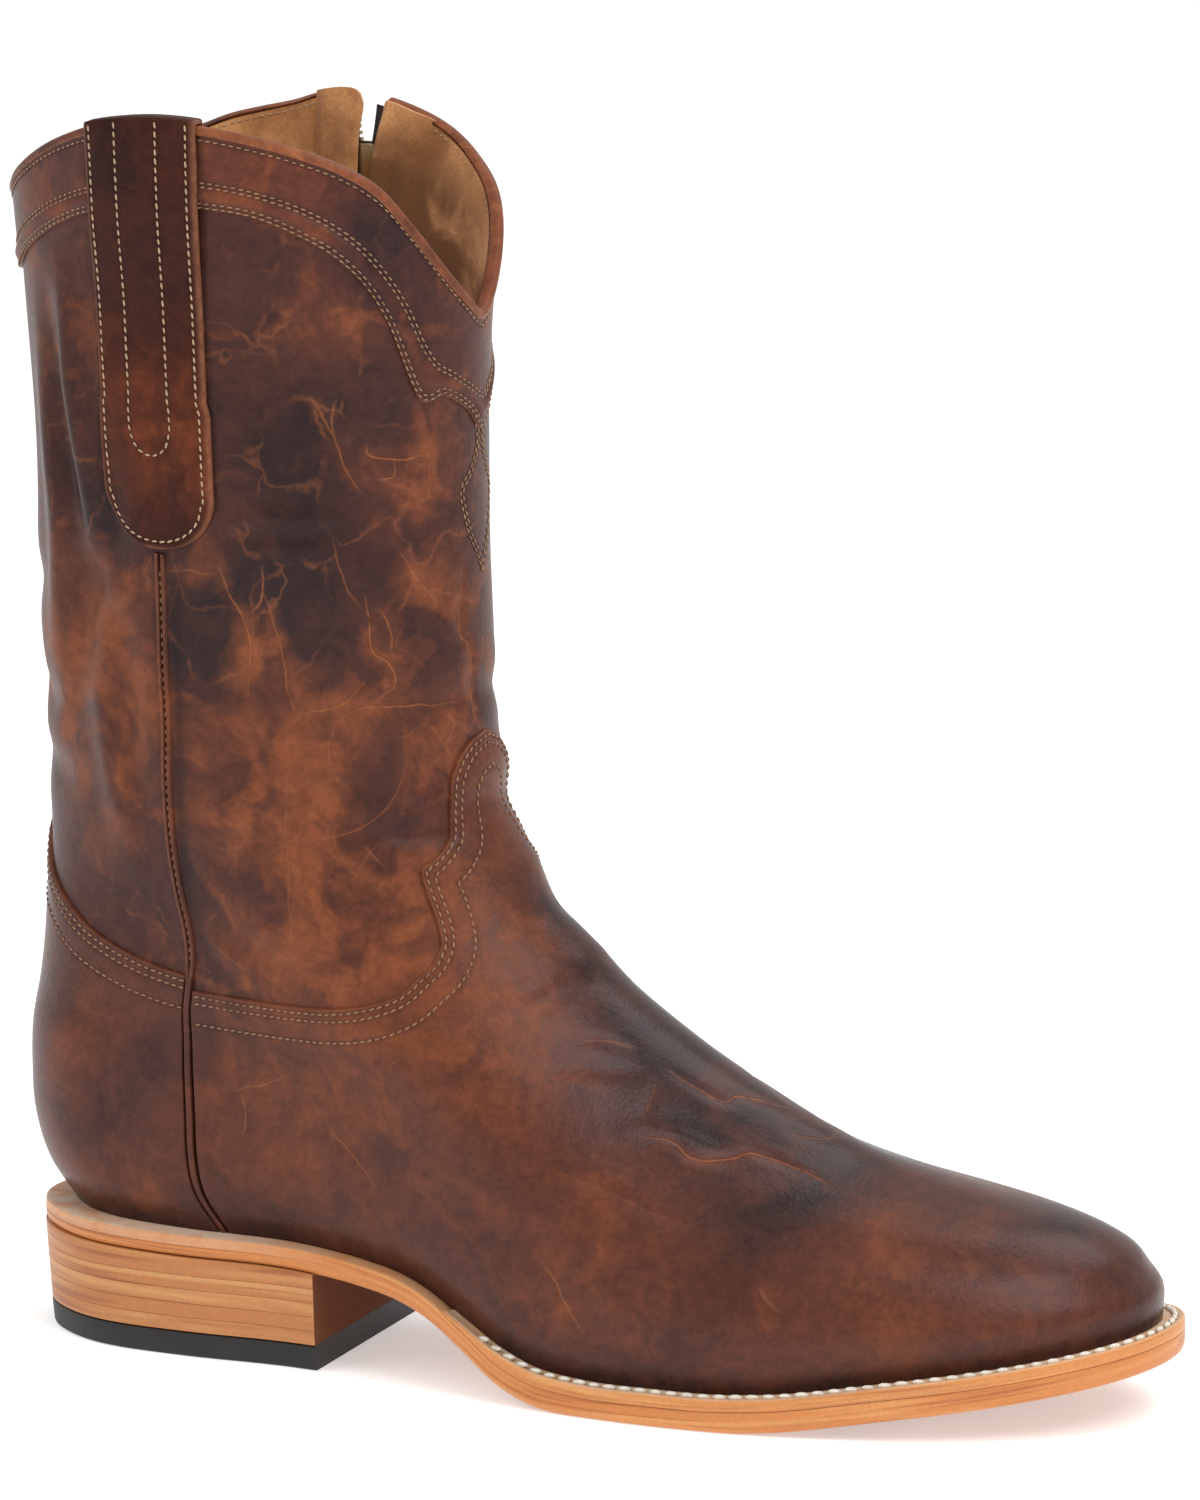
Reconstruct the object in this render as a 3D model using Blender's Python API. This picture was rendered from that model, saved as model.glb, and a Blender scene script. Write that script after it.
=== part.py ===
"""A western boot for the right foot, with a low stacked heel, a pull strap and a zip on the inner side.

Sizes are in millimetres until a mesh is made. +X points to the toe, -Y to the outer side of the
foot and +Z up. An angle, in degrees, runs round the foot: 0 at the toe, 90 on the outer side, 180 at
the heel and -90 on the inner side. A level counts the sections of the last, from 0 at the sole.
"""

import math

import bmesh
import bpy
import numpy as np
from mathutils import Matrix, Vector

MM = 0.001
MERGE_DISTANCE = 1e-6

# Driving sizes
LENGTH = 300.0
BALL_WIDTH = 91.0
SHAFT_HEIGHT = 328.0
HEEL_HEIGHT = 26.5
TOE_SPRING = 17.0
GAP = 0.3
OVERLAY_GAP = 0.4
UPPER_WALL = 2.0
OVERLAY_THICKNESS = 1.1
STRAP_THICKNESS = 2.1

# Sole unit
SOLE_THICKNESS = 6.0
WELT_THICKNESS = 3.0
WELT_START, WELT_FULL = 118.0, 146.0
WELT_TUCK = 5.0
WELT_REACH = 100.0
INSOLE_THICKNESS = 3.0
INSOLE_CLEARANCE = 0.5
HEEL_CAP_THICKNESS = 7.0
HEEL_LIFTS = 5
HEEL_BREAST = 84.5
HEEL_TAPER = 0.07
HEEL_BACK, HEEL_SEARCH, HEEL_STATIONS = 178.0, 100.0, 10

# Toe line: how far the toe leans to the inner side, and where that starts
TOE_SWING = 7.0
SWING_START = 120.0

# Collar: the inner front edge stands out a little where the zip is open
FLARE = 3.5
FLARE_ANGLE, FLARE_SPREAD = -30.0, 34.0
FLARE_START, FLARE_FULL = 14.6, 16.0

# Pull strap on the outer side, folded over the collar
STRAP_ANGLE = 98.5
STRAP_HALF_ANGLE = 14.8
STRAP_FOOT, STRAP_ROUND, STRAP_FOOT_FLAT = 13.33, 13.72, 0.94
STRAP_LEVELS = (STRAP_FOOT, STRAP_FOOT + 0.1, STRAP_FOOT + 0.24, STRAP_ROUND, 14.5, 15.3, 15.62)
STRAP_BAND_LEVELS = (15.74, 16.1)
STRAP_INSIDE = 15.6
STRAP_COLUMNS = 7
STRAP_FOLLOWS_RIM = 15.9
LEVEL_PER_MM = 1 / 30.0

# Collar band: its rows and columns, and how far it stops short of the rim and of the zip
BAND_COLUMNS, BAND_ROWS = 49, 4
BAND_BELOW_RIM, BAND_END = 0.02, 1.2

# Zip on the inner side: half width of the slot, closed and at the open top
ZIP_ANGLE = -78.75
ZIP_FOOT = 8.25
SLOT_HALF, SLOT_HALF_TOP = 3.5, 6.5
SLOT_OPENS, SLOT_OPEN = 15.55, 16.5
ZIP_COLUMN_HALF = 3.75
TAPE_GAP, TAPE_THICKNESS, TAPE_WIDTH = 0.5, 0.8, 10.5
TAPE_BELOW_SLOT, TAPE_BELOW_RIM, TOOTH_ABOVE_SLOT = 0.1, 0.06, 0.06
TAPE_ROWS, TAPE_TOP_ROWS = 12, 4
TOOTH_WIDTH, TOOTH_HEIGHT, TOOTH_INSET = 2.4, 1.6, 0.8
GUARD_THICKNESS, GUARD_START, GUARD_WIDTH = 1.2, 5.0, 11.0
SLIDER_LEVEL = 15.86
SLIDER_WIDTH, SLIDER_HEIGHT, PLATE_LIFT, PLATE_THICKNESS = 8.6, 11.0, 0.7, 1.4
POST_HALF, POST_HEIGHT, POST_BELOW_TOP, JOIN = 0.9, 2.2, 0.4, 0.3
SLIDER_PLAY = 0.8
CROWN_WIDTH, CROWN_BORE, CROWN_WALL = 2.4, 2.6, 1.1
PULL_WIDTH, PULL_LENGTH, PULL_THICKNESS, PULL_FRAME = 7.0, 21.0, 1.3, 1.2
PULL_WINDOW = 5.2

# Beads on the side seams, and the level where overlays start above the sole
SEAM_HALF_WIDTH, SEAM_CREST, SEAM_HEIGHT, SEAM_EDGE = 1.7, 0.8, 1.5, 0.5
SEAM_BELOW_STRAP, SEAM_BELOW_ZIP, SEAM_TURN = 0.04, 0.15, 0.4
SEAM_ROWS_OUTER, SEAM_ROWS_INNER = 21, 12
OVERLAY_FOOT = 0.12

# Feather line, where the upper meets the sole: half widths in percent of the ball width
OUTLINE = np.array([
    # angle, outer, inner
    (0, 0.0, 0.0),
    (15, 18.1, 18.1),
    (30, 32.4, 33.0),
    (45, 42.9, 44.0),
    (60, 49.5, 49.5),
    (75, 52.2, 47.8),
    (90, 47.8, 40.1),
    (105, 38.0, 33.5),
    (120, 31.0, 30.8),
    (135, 29.9, 30.2),
    (150, 25.8, 25.8),
    (165, 14.3, 14.3),
    (180, 0.0, 0.0),
])

# Underside of the sole: place in percent of the length, height in percent of heel and of toe spring
SOLE_LINE = np.array([
    # place, heel, spring
    (-4.0, 107.5, 0.0),
    (13.3, 104.0, 0.0),
    (28.3, 99.6, 0.0),
    (33.0, 94.0, 0.0),
    (36.7, 86.0, 0.0),
    (40.0, 71.0, 0.0),
    (43.3, 46.8, 0.0),
    (46.7, 20.4, 0.0),
    (50.0, 5.3, 0.0),
    (54.3, -1.0, 0.0),
    (62.0, 0.0, -2.5),
    (67.5, 0.0, -1.5),
    (72.7, 0.0, 5.5),
    (81.7, 0.0, 30.6),
    (90.0, 0.0, 53.0),
    (97.3, 0.0, 75.3),
    (104.7, 0.0, 100.0),
])

# Edge of the sole: how far it stands out past the feather line
SOLE_MARGIN = np.array([
    # place in mm, margin in mm
    (0.0, 9.0),
    (40.0, 8.0),
    (90.0, 7.0),
    (130.0, 6.5),
    (180.0, 6.5),
    (302.0, 7.0),
])

# Sections of the last. Places are in percent of the length, heights of the shaft height and half
# widths of the ball width. Oval is the share of a plain oval in the plan, follow the share of the
# sole's curve in the height, and pinch the narrowing of the ridge over the foot. The heights of the
# first section are then set to the feather line.
SECTIONS = np.array([
    # front, front height, back, back height, outer, inner, oval, follow, pinch
    (100.5, 7.3, 1.0, 10.5, 47.8, 40.1, 0.00, 1.00, 0.00),
    (101.2, 9.9, -1.7, 14.0, 51.6, 45.1, 0.00, 0.97, 0.00),
    (100.3, 11.7, -3.0, 17.7, 52.2, 46.7, 0.02, 0.90, 0.05),
    (98.7, 13.6, -3.3, 21.3, 51.1, 46.7, 0.06, 0.80, 0.18),
    (94.2, 15.2, -3.2, 25.0, 49.5, 46.2, 0.14, 0.66, 0.36),
    (85.7, 16.6, -2.5, 28.4, 47.3, 45.1, 0.26, 0.50, 0.52),
    (76.3, 18.6, -2.0, 31.7, 45.6, 44.0, 0.40, 0.34, 0.54),
    (68.0, 22.0, -1.7, 35.1, 44.0, 42.9, 0.56, 0.20, 0.48),
    (60.0, 26.1, -1.5, 38.4, 42.9, 42.3, 0.72, 0.09, 0.38),
    (52.7, 30.8, -1.5, 42.1, 42.9, 42.3, 0.86, 0.03, 0.28),
    (46.3, 36.6, -1.5, 46.3, 43.4, 42.9, 0.96, 0.00, 0.18),
    (41.8, 43.3, -1.5, 51.2, 44.5, 44.0, 1.00, 0.00, 0.08),
    (40.0, 51.2, -1.7, 57.3, 45.6, 45.1, 1.00, 0.00, 0.02),
    (39.5, 61.0, -2.0, 64.6, 47.3, 46.7, 1.00, 0.00, 0.00),
    (39.2, 73.2, -2.3, 75.0, 48.9, 48.4, 1.00, 0.00, 0.00),
    (39.2, 85.4, -3.0, 86.0, 50.0, 49.5, 1.00, 0.00, 0.00),
    (40.3, 96.0, -4.0, 95.1, 51.1, 50.5, 1.00, 0.00, 0.00),
    (41.2, 105.2, -4.7, 103.7, 51.6, 51.1, 1.00, 0.00, 0.00),
])

# Scalloped collar: level of its edge
COLLAR = np.array([
    # angle, level
    (0, 14.95),
    (10, 15.08),
    (22, 15.29),
    (33, 15.52),
    (43, 15.74),
    (53, 15.97),
    (63, 16.18),
    (72, 16.34),
    (84, 16.48),
    (98, 16.53),
    (114, 16.46),
    (125, 16.34),
    (145, 16.05),
    (162, 15.82),
    (180, 15.75),
])

# Lower edge of the collar band, with its point at the front
BAND_EDGE = np.array([
    # angle, level
    (0, 14.22),
    (9, 14.36),
    (20, 14.47),
    (30, 14.50),
    (33, 14.66),
    (38, 14.95),
    (44, 15.20),
    (52, 15.43),
    (62, 15.62),
    (72, 15.76),
    (84, 15.83),
    (100, 15.83),
    (115, 15.76),
    (145, 15.36),
    (162, 15.14),
    (180, 15.07),
])

# Upper edge of the vamp, from the tongue at the front to the side seam
VAMP_EDGE = np.array([
    # angle, level
    (0, 11.95),
    (14, 11.90),
    (22, 11.66),
    (27, 11.36),
    (37, 10.90),
    (47, 10.30),
    (50, 9.85),
    (57, 9.18),
    (68, 8.48),
    (80, 7.72),
    (94, 7.08),
    (108, 6.66),
    (121, 6.26),
])

# Upper edge of the counter, from the side seam to its peak at the back
COUNTER_EDGE = np.array([
    # angle, level
    (121, 6.10),
    (128, 6.21),
    (134, 6.48),
    (139, 6.88),
    (144, 7.54),
    (149, 8.18),
    (154, 8.68),
    (162, 9.02),
    (180, 9.12),
])

# Side seam between vamp and counter, and up the shaft
SIDE_SEAM = np.array([
    # level, angle
    (0.0, 131.0),
    (1.35, 128.2),
    (2.6, 127.2),
    (4.4, 125.4),
    (6.4, 120.4),
    (8.9, 109.3),
    (10.7, 100.5),
    (12.0, 99.5),
    (13.5, 99.5),
])
SEAM_CORNER = 6.3
VAMP_LAST = 117.0
COUNTER_FIRST = 132.0

# Middle of the zip: upright along the shaft, its angle falls back over the ankle
ZIP_LINE = np.array([
    # level, angle
    (0.0, -78.75),
    (3.5, -78.75),
    (5.0, -84.0),
    (6.5, -93.0),
    (8.0, -98.5),
    (9.0, -94.5),
    (10.0, -88.5),
    (11.0, -83.0),
    (12.0, -79.3),
    (13.0, -78.75),
    (17.0, -78.75),
])

# Share of the zip's lean that a column of the upper follows
ZIP_LEAN = np.array([
    # angle, share
    (-118.0, 0.0),
    (-86.25, 1.0),
    (-71.0, 1.0),
    (-20.0, 0.0),
])

# Columns of the upper on one side, closer together over the waist of the sole, and its rows
COLUMNS = np.concatenate([np.arange(0, 84, 7.5), np.arange(86.25, 121, 3.75), np.arange(127.5, 181, 7.5)])
FOOT_LEVELS = np.concatenate([
    [0, 0.4, 1, 1.7, 2.5, 3.3, 4.2, 5.1, 6, 6.8, 7.6, ZIP_FOOT],
    [9, 9.8, 10.6, 11.3, 12, 12.9, 13.8],
])
SHAFT_ROWS = 3
# Stations of the sole, from toe to heel
SOLE_STATIONS = np.concatenate([
    [2.5],
    np.arange(7.5, 60, 7.5),
    np.arange(60, 85, 5),
    np.arange(85, 118, 2.5),
    np.arange(122.5, 175, 7.5),
    [177.5],
])
PANEL_LEVELS = np.concatenate([[OVERLAY_FOOT], FOOT_LEVELS[1:]])
PANEL_SNAP = 0.3

# Colours from the photograph, linear
DARK_LEATHER = (0.075, 0.026, 0.018)
STRAP_LEATHER = (0.050, 0.017, 0.012)
SOLE_LEATHER = (0.46, 0.20, 0.075)
LIFT_LEATHER = (0.40, 0.18, 0.070)
WELT_LEATHER = (0.52, 0.26, 0.11)
LINING_LEATHER = (0.22, 0.105, 0.040)
BLACK_RUBBER = (0.012, 0.012, 0.014)
DARK_TAPE = (0.020, 0.014, 0.012)
OLD_BRASS = (0.26, 0.19, 0.09)


def through(table, at, closed_angle=False):
    """Reads a smooth curve through the rows of a table, whose first column is the place.

    With closed_angle the table runs from 0 to 180 degrees and is mirrored past both ends.
    """
    places, rows = table[:, 0], table[:, 1:]
    if closed_angle:
        places = np.concatenate([-places[2:0:-1], places, 360 - places[-2:-4:-1]])
        rows = np.concatenate([rows[2:0:-1], rows, rows[-2:-4:-1]])
    at = np.clip(np.asarray(at, float), places[0], places[-1])
    slopes = np.gradient(rows, places, axis=0)
    k = np.clip(np.searchsorted(places, at, side="right") - 1, 0, len(places) - 2)
    step = (places[k + 1] - places[k])[..., None]
    t = (at - places[k])[..., None] / step
    ends = rows[k] * (1 + 2 * t) * (1 - t) ** 2 + rows[k + 1] * t * t * (3 - 2 * t)
    tangents = step * (slopes[k] * t * (1 - t) ** 2 - slopes[k + 1] * t * t * (1 - t))
    return ends + tangents


def ease(start, end, at):
    """Rises smoothly from 0 at start to 1 at end."""
    t = np.clip((np.asarray(at, float) - start) / (end - start), 0, 1)
    return t * t * (3 - 2 * t)


def turned(angle):
    """Brings an angle to the range from -180 to 180."""
    return (np.asarray(angle, float) + 180) % 360 - 180


def sole_curve(x):
    """Height of the sole's underside before the tread is ground flat."""
    heel, spring = np.moveaxis(through(SOLE_LINE, np.asarray(x) * 100 / LENGTH), -1, 0)
    return (heel * HEEL_HEIGHT + spring * TOE_SPRING) / 100


def sole_bottom(x):
    """Underside of the sole, flat on the floor under the ball."""
    return np.maximum(sole_curve(x), 0)


def sole_top(x):
    """Upper face of the sole."""
    return sole_curve(x) + SOLE_THICKNESS


def welt_share(x):
    """Thickness of the welt as a share: none at the heel, full from the ball forwards."""
    return ease(WELT_START, WELT_FULL, x)


def welt_bottom(x):
    """Lower face of the welt."""
    return sole_top(x) + GAP


def welt_top(x):
    """Upper face of the welt."""
    return welt_bottom(x) + WELT_THICKNESS * welt_share(x)


def feather_height(x):
    """Height of the upper's lower edge, just clear of the sole and the welt."""
    return welt_top(x) + GAP * welt_share(x)


def swing(x):
    """Lean of the foot to the inner side."""
    return TOE_SWING * np.clip((np.asarray(x) - SWING_START) / (LENGTH - SWING_START), 0, 1.2) ** 2


def foot_ratio(angle):
    """Half width of the feather line at an angle, as a share of that at the side."""
    outer, inner = np.moveaxis(through(OUTLINE, np.abs(angle)), -1, 0)
    side_outer, side_inner = through(OUTLINE, 90.0)
    return np.where(angle < 0, inner / side_inner, outer / side_outer)


def sections_in_mm():
    """The numbered sections in millimetres, the first one lying on the feather line."""
    part_of = np.array([LENGTH, SHAFT_HEIGHT, LENGTH, SHAFT_HEIGHT, BALL_WIDTH, BALL_WIDTH])
    rows = SECTIONS.copy()
    rows[:, :6] *= part_of / 100
    rows[0, 1] = feather_height(rows[0, 0])
    rows[0, 3] = feather_height(rows[0, 2])
    return np.column_stack([np.arange(len(rows)), rows])


def skin(angle, level):
    """A point of the outside of the upper, without overlays."""
    angle, level = np.broadcast_arrays(turned(angle), np.asarray(level, float))
    row = np.moveaxis(through(sections_in_mm(), level), -1, 0)
    front, front_z, back, back_z, outer, inner, oval, follow, pinch = row
    half_width = np.where(angle < 0, inner, -outer)
    cosine = np.cos(np.radians(angle))
    x = (front + back) / 2 + (front - back) / 2 * cosine
    ratio = foot_ratio(angle) * (1 - oval) + np.sin(np.radians(np.abs(angle))) * oval
    ratio = ratio * (1 - pinch * np.maximum(cosine, 0) ** 2)
    y = half_width * ratio + swing(x)
    share = (x - back) / (front - back)
    chord = feather_height(back) + (feather_height(front) - feather_height(back)) * share
    z = back_z + (front_z - back_z) * share + follow * (feather_height(x) - chord)
    return np.stack([x, y, z], -1)


def outward(angle, level):
    """Direction that points out of the upper's skin."""
    turn, rise = 0.5, 0.02
    along = skin(np.asarray(angle) + turn, level) - skin(np.asarray(angle) - turn, level)
    up = skin(angle, np.asarray(level) + rise) - skin(angle, np.maximum(np.asarray(level) - rise, 0))
    normal = np.cross(up, along)
    return normal / np.linalg.norm(normal, axis=-1, keepdims=True)


def flare(angle, level):
    """How far the inner front of the collar stands out."""
    near = np.exp(-(((turned(angle) - FLARE_ANGLE) / FLARE_SPREAD) ** 2))
    return FLARE * near * ease(FLARE_START, FLARE_FULL, level)


def upper_point(angle, level, out=0.0):
    """A point at a distance out from the upper's outside; a negative distance goes into the foot."""
    angle, level = np.broadcast_arrays(np.asarray(angle, float), np.asarray(level, float))
    reach = np.asarray(flare(angle, level) + out)[..., None]
    return skin(angle, level) + outward(angle, level) * reach


def mm_per_degree(angle, level):
    """Length of one degree round the upper."""
    angle, half = np.asarray(angle), 0.5
    return np.linalg.norm(skin(angle + half, level) - skin(angle - half, level), axis=-1)


def collar_level(angle):
    """Level of the collar's edge."""
    return through(COLLAR, np.abs(turned(angle)), True)[..., 0]


def zip_angle(level):
    """Angle of the zip's middle line."""
    return through(ZIP_LINE, level)[..., 0]


def slot_half(level):
    """Half width of the zip's slot."""
    return SLOT_HALF + (SLOT_HALF_TOP - SLOT_HALF) * ease(SLOT_OPENS, SLOT_OPEN, level)


def beside_zip(level, distance):
    """Angle at a distance from the zip's middle, in millimetres, towards the toe where positive."""
    middle = zip_angle(level)
    return middle + distance / mm_per_degree(middle, level)


def side_seam(level):
    """Angle of the outer side seam."""
    return through(SIDE_SEAM, level)[..., 0]


def seam_clearance(level):
    """Angle between the side seam's middle and the panels that stop beside its bead."""
    return (SEAM_HALF_WIDTH + 3 * GAP) / mm_per_degree(side_seam(level), level)


def wall(name, outside, inside, look, wrap=False, left_out=None):
    """Makes a closed wall between two grids of points, rows by columns.

    wrap joins the last column to the first, and left_out marks cells of the grid that stay open.
    Points that fall together are merged.
    """
    rows, columns = outside.shape[:2]
    cells = np.ones((rows - 1, columns if wrap else columns - 1), bool)
    if left_out is not None:
        cells &= ~left_out
    shape = bmesh.new()
    skins = [
        [[shape.verts.new(Vector(point) * MM) for point in row] for row in grid]
        for grid in (outside, inside)
    ]

    def corners(row, column):
        ahead = (column + 1) % columns
        return ((row, column), (row, ahead), (row + 1, ahead), (row + 1, column))

    def filled(row, column):
        if wrap:
            column %= columns
        inside_grid = 0 <= row < cells.shape[0] and 0 <= column < cells.shape[1]
        return inside_grid and cells[row, column]

    neighbours = ((-1, 0), (0, 1), (1, 0), (0, -1))
    for row, column in zip(*np.nonzero(cells)):
        ring = corners(row, column)
        shape.faces.new([skins[0][r][c] for r, c in ring])
        shape.faces.new([skins[1][r][c] for r, c in (ring[0], ring[3], ring[2], ring[1])])
        for side, (down, across) in enumerate(neighbours):
            if filled(row + down, column + across):
                continue
            (r0, c0), (r1, c1) = ring[side], ring[(side + 1) % 4]
            shape.faces.new([skins[0][r1][c1], skins[0][r0][c0], skins[1][r0][c0], skins[1][r1][c1]])
    bmesh.ops.remove_doubles(shape, verts=shape.verts, dist=MERGE_DISTANCE)
    loose = [vertex for vertex in shape.verts if not vertex.link_faces]
    bmesh.ops.delete(shape, geom=loose, context="VERTS")
    bmesh.ops.recalc_face_normals(shape, faces=shape.faces)
    return place(name, shape, look)


def place(name, shape, look):
    """Turns a bmesh into a named part of the boot with its material."""
    mesh = bpy.data.meshes.new(name)
    shape.to_mesh(mesh)
    shape.free()
    mesh.shade_smooth()
    mesh.set_sharp_from_angle(angle=math.radians(35))
    mesh.materials.append(look)
    part = bpy.data.objects.new(name, mesh)
    bpy.data.collections["western_boot"].objects.link(part)
    return part


def material(name, colour, roughness, metallic=0.0):
    """A plain finish of one colour."""
    look = bpy.data.materials.new(name)
    look.use_nodes = True
    shader = look.node_tree.nodes["Principled BSDF"]
    shader.inputs["Base Color"].default_value = (*colour, 1.0)
    shader.inputs["Roughness"].default_value = roughness
    shader.inputs["Metallic"].default_value = metallic
    return look


def plan_edge(angles, margin):
    """Points in plan at a distance out from the feather line."""
    edge = skin(angles, 0.0)[..., :2]
    half = 1.0
    along = (skin(angles + half, 0.0) - skin(angles - half, 0.0))[..., :2]
    away = np.stack([-along[..., 1], along[..., 0]], -1)
    away /= np.linalg.norm(away, axis=-1, keepdims=True)
    return edge + away * np.broadcast_to(margin, edge.shape[:-1])[..., None]


def sole_edge(angles, inset=0.0):
    """Points in plan along the sole's edge."""
    margin = through(SOLE_MARGIN, skin(angles, 0.0)[..., 0])[..., 0]
    return plan_edge(angles, margin - inset)


def plate(name, one_edge, other_edge, bottom, top, look):
    """Makes a plate from rungs between two edges in plan, with its faces given over the length."""
    rungs = np.stack([one_edge, other_edge], 1)
    over = np.concatenate([rungs, top(rungs[..., :1])], -1)
    under = np.concatenate([rungs, bottom(rungs[..., :1])], -1)
    return wall(name, over, under, look)


def build_outsole(look):
    """The leather sole, from toe to heel."""
    plate("outsole", sole_edge(SOLE_STATIONS), sole_edge(-SOLE_STATIONS), sole_bottom, sole_top, look)


def build_welt(look):
    """The welt, a strip round the forefoot between the upper and the sole."""
    one_side = SOLE_STATIONS[SOLE_STATIONS <= WELT_REACH]
    angles = np.concatenate([-one_side[::-1], one_side])
    plate("welt", sole_edge(angles), plan_edge(angles, -WELT_TUCK), welt_bottom, welt_top, look)


def build_insole(look):
    """The insole inside the upper's lower edge."""
    inset = -UPPER_WALL - INSOLE_CLEARANCE

    def over(x):
        return feather_height(x) + INSOLE_THICKNESS

    edges = [plan_edge(sign * SOLE_STATIONS, inset) for sign in (1, -1)]
    plate("insole", *edges, feather_height, over, look)


def heel_side(sign, inset):
    """One side of a layer of the heel in plan, from the back to the breast."""
    fine = sign * np.linspace(HEEL_BACK, HEEL_SEARCH, 160)
    breast = np.interp(HEEL_BREAST, sole_edge(fine, inset)[:, 0], fine)
    return sole_edge(np.linspace(fine[0], breast, HEEL_STATIONS), inset)


def heel_slice(name, low, top, look):
    """One layer of the heel from a height up to its top face, drawn in as it nears the floor."""
    inset = HEEL_TAPER * (HEEL_HEIGHT - low)

    def under(x):
        return np.full_like(x, low)

    plate(name, heel_side(1, inset), heel_side(-1, inset), under, top, look)


def build_heel(leather, rubber):
    """The stacked heel: a rubber cap on the floor and leather lifts up to the sole."""
    heel_slice("heel_cap", 0.0, lambda x: np.full_like(x, HEEL_CAP_THICKNESS), rubber)
    seat = float(sole_bottom(HEEL_BREAST)) - GAP
    pitch = (seat - HEEL_CAP_THICKNESS) / HEEL_LIFTS
    for number in range(HEEL_LIFTS):
        low = HEEL_CAP_THICKNESS + number * pitch + GAP
        top = HEEL_CAP_THICKNESS + (number + 1) * pitch
        if number < HEEL_LIFTS - 1:
            heel_slice(f"heel_lift_{number + 1}", low, lambda x, z=top: np.full_like(x, z), leather)
        else:
            heel_slice(f"heel_lift_{number + 1}", low, lambda x: sole_bottom(x) - GAP, leather)


def upper_angles(columns, levels):
    """Angles of the upper's columns at their levels: near the zip they lean back with its line."""
    lean = np.interp(turned(columns), ZIP_LEAN[:, 0], ZIP_LEAN[:, 1])
    angles = columns + (zip_angle(levels) - ZIP_ANGLE) * lean
    for side in (-1, 1):
        beside = np.isclose(columns, ZIP_ANGLE + side * ZIP_COLUMN_HALF)
        angles[:, beside] = beside_zip(levels[:, beside], side * slot_half(levels[:, beside]))
    return angles


def build_upper(look):
    """The hollow upper: one wall from the sole to the scalloped collar, slit for the zip."""
    columns = np.concatenate([-COLUMNS[-2:0:-1], COLUMNS])
    foot = np.repeat(FOOT_LEVELS[:, None], len(columns), 1)
    share = np.linspace(0, 1, SHAFT_ROWS + 1)[1:, None]
    shaft = FOOT_LEVELS[-1] + (collar_level(columns) - FOOT_LEVELS[-1]) * share
    levels = np.concatenate([foot, shaft])
    angles = upper_angles(columns, levels)
    outside = upper_point(angles, levels)
    inside = upper_point(angles, levels, -UPPER_WALL)
    inside[0, :, :2] = plan_edge(angles[0], -UPPER_WALL)
    inside[0, :, 2] = outside[0, :, 2]
    slit = np.zeros((len(levels) - 1, len(columns)), bool)
    zip_column = int(np.searchsorted(columns, ZIP_ANGLE)) - 1
    slit[int(np.searchsorted(FOOT_LEVELS, ZIP_FOOT)):, zip_column] = True
    wall("upper", outside, inside, look, wrap=True, left_out=slit)


def overlay(name, angles, levels, look):
    """A leather layer that lies on the upper, from grids of angles and levels."""
    outside = upper_point(angles, levels, OVERLAY_GAP + OVERLAY_THICKNESS)
    inside = upper_point(angles, levels, OVERLAY_GAP)
    wall(name, outside, inside, look)


def panel(name, columns, edge, first, last, look):
    """A panel on the upper, on its columns and rows, that ends beside the side seams at its two sides.

    edge gives the level of its upper edge at each column, where the rows above it all meet. first and
    last give the angles of the side seams at a level.
    """
    rows = np.repeat(PANEL_LEVELS[:, None], len(columns), 1)
    levels = np.where(rows < edge - PANEL_SNAP, rows, edge)
    angles = upper_angles(columns, levels)
    angles[:, 0] = first(levels[:, 0]) + seam_clearance(levels[:, 0])
    angles[:, -1] = last(levels[:, -1]) - seam_clearance(levels[:, -1])
    overlay(name, angles, levels, look)


def build_vamp(look):
    """The vamp over the forefoot, with its scalloped edge and tongue."""
    corner = float(side_seam(SEAM_CORNER))
    side = COLUMNS[COLUMNS < VAMP_LAST]
    columns = np.concatenate([[-corner], -side[:0:-1], side, [corner]])
    edge = through(VAMP_EDGE, np.abs(columns))[..., 0]
    panel("vamp", columns, edge, lambda level: -side_seam(level), side_seam, look)


def build_counter(look):
    """The counter round the heel."""
    corner = float(side_seam(SEAM_CORNER))
    outer = COLUMNS[COLUMNS > COUNTER_FIRST]
    columns = np.concatenate([[corner], outer, 360 - outer[-2::-1], [360 - corner]])
    edge = through(COUNTER_EDGE, np.abs(turned(columns)))[..., 0]
    panel("counter", columns, edge, side_seam, lambda level: 360 - side_seam(level), look)


def build_collar_band(look):
    """The band along the collar, from one side of the zip round to the other."""
    around = np.linspace(ZIP_ANGLE, ZIP_ANGLE + 360, BAND_COLUMNS)
    share = np.linspace(0, 1, BAND_ROWS)[:, None]
    low = through(BAND_EDGE, np.abs(turned(around)), True)[..., 0]
    high = collar_level(around) - BAND_BELOW_RIM
    levels = low + (high - low) * share
    clear = (slot_half(levels) + BAND_END) / mm_per_degree(ZIP_ANGLE, levels)
    middle = ZIP_ANGLE + 180
    angles = middle + (around - middle) * (180 - clear) / 180
    overlay("collar_band", angles, levels, look)


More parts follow.
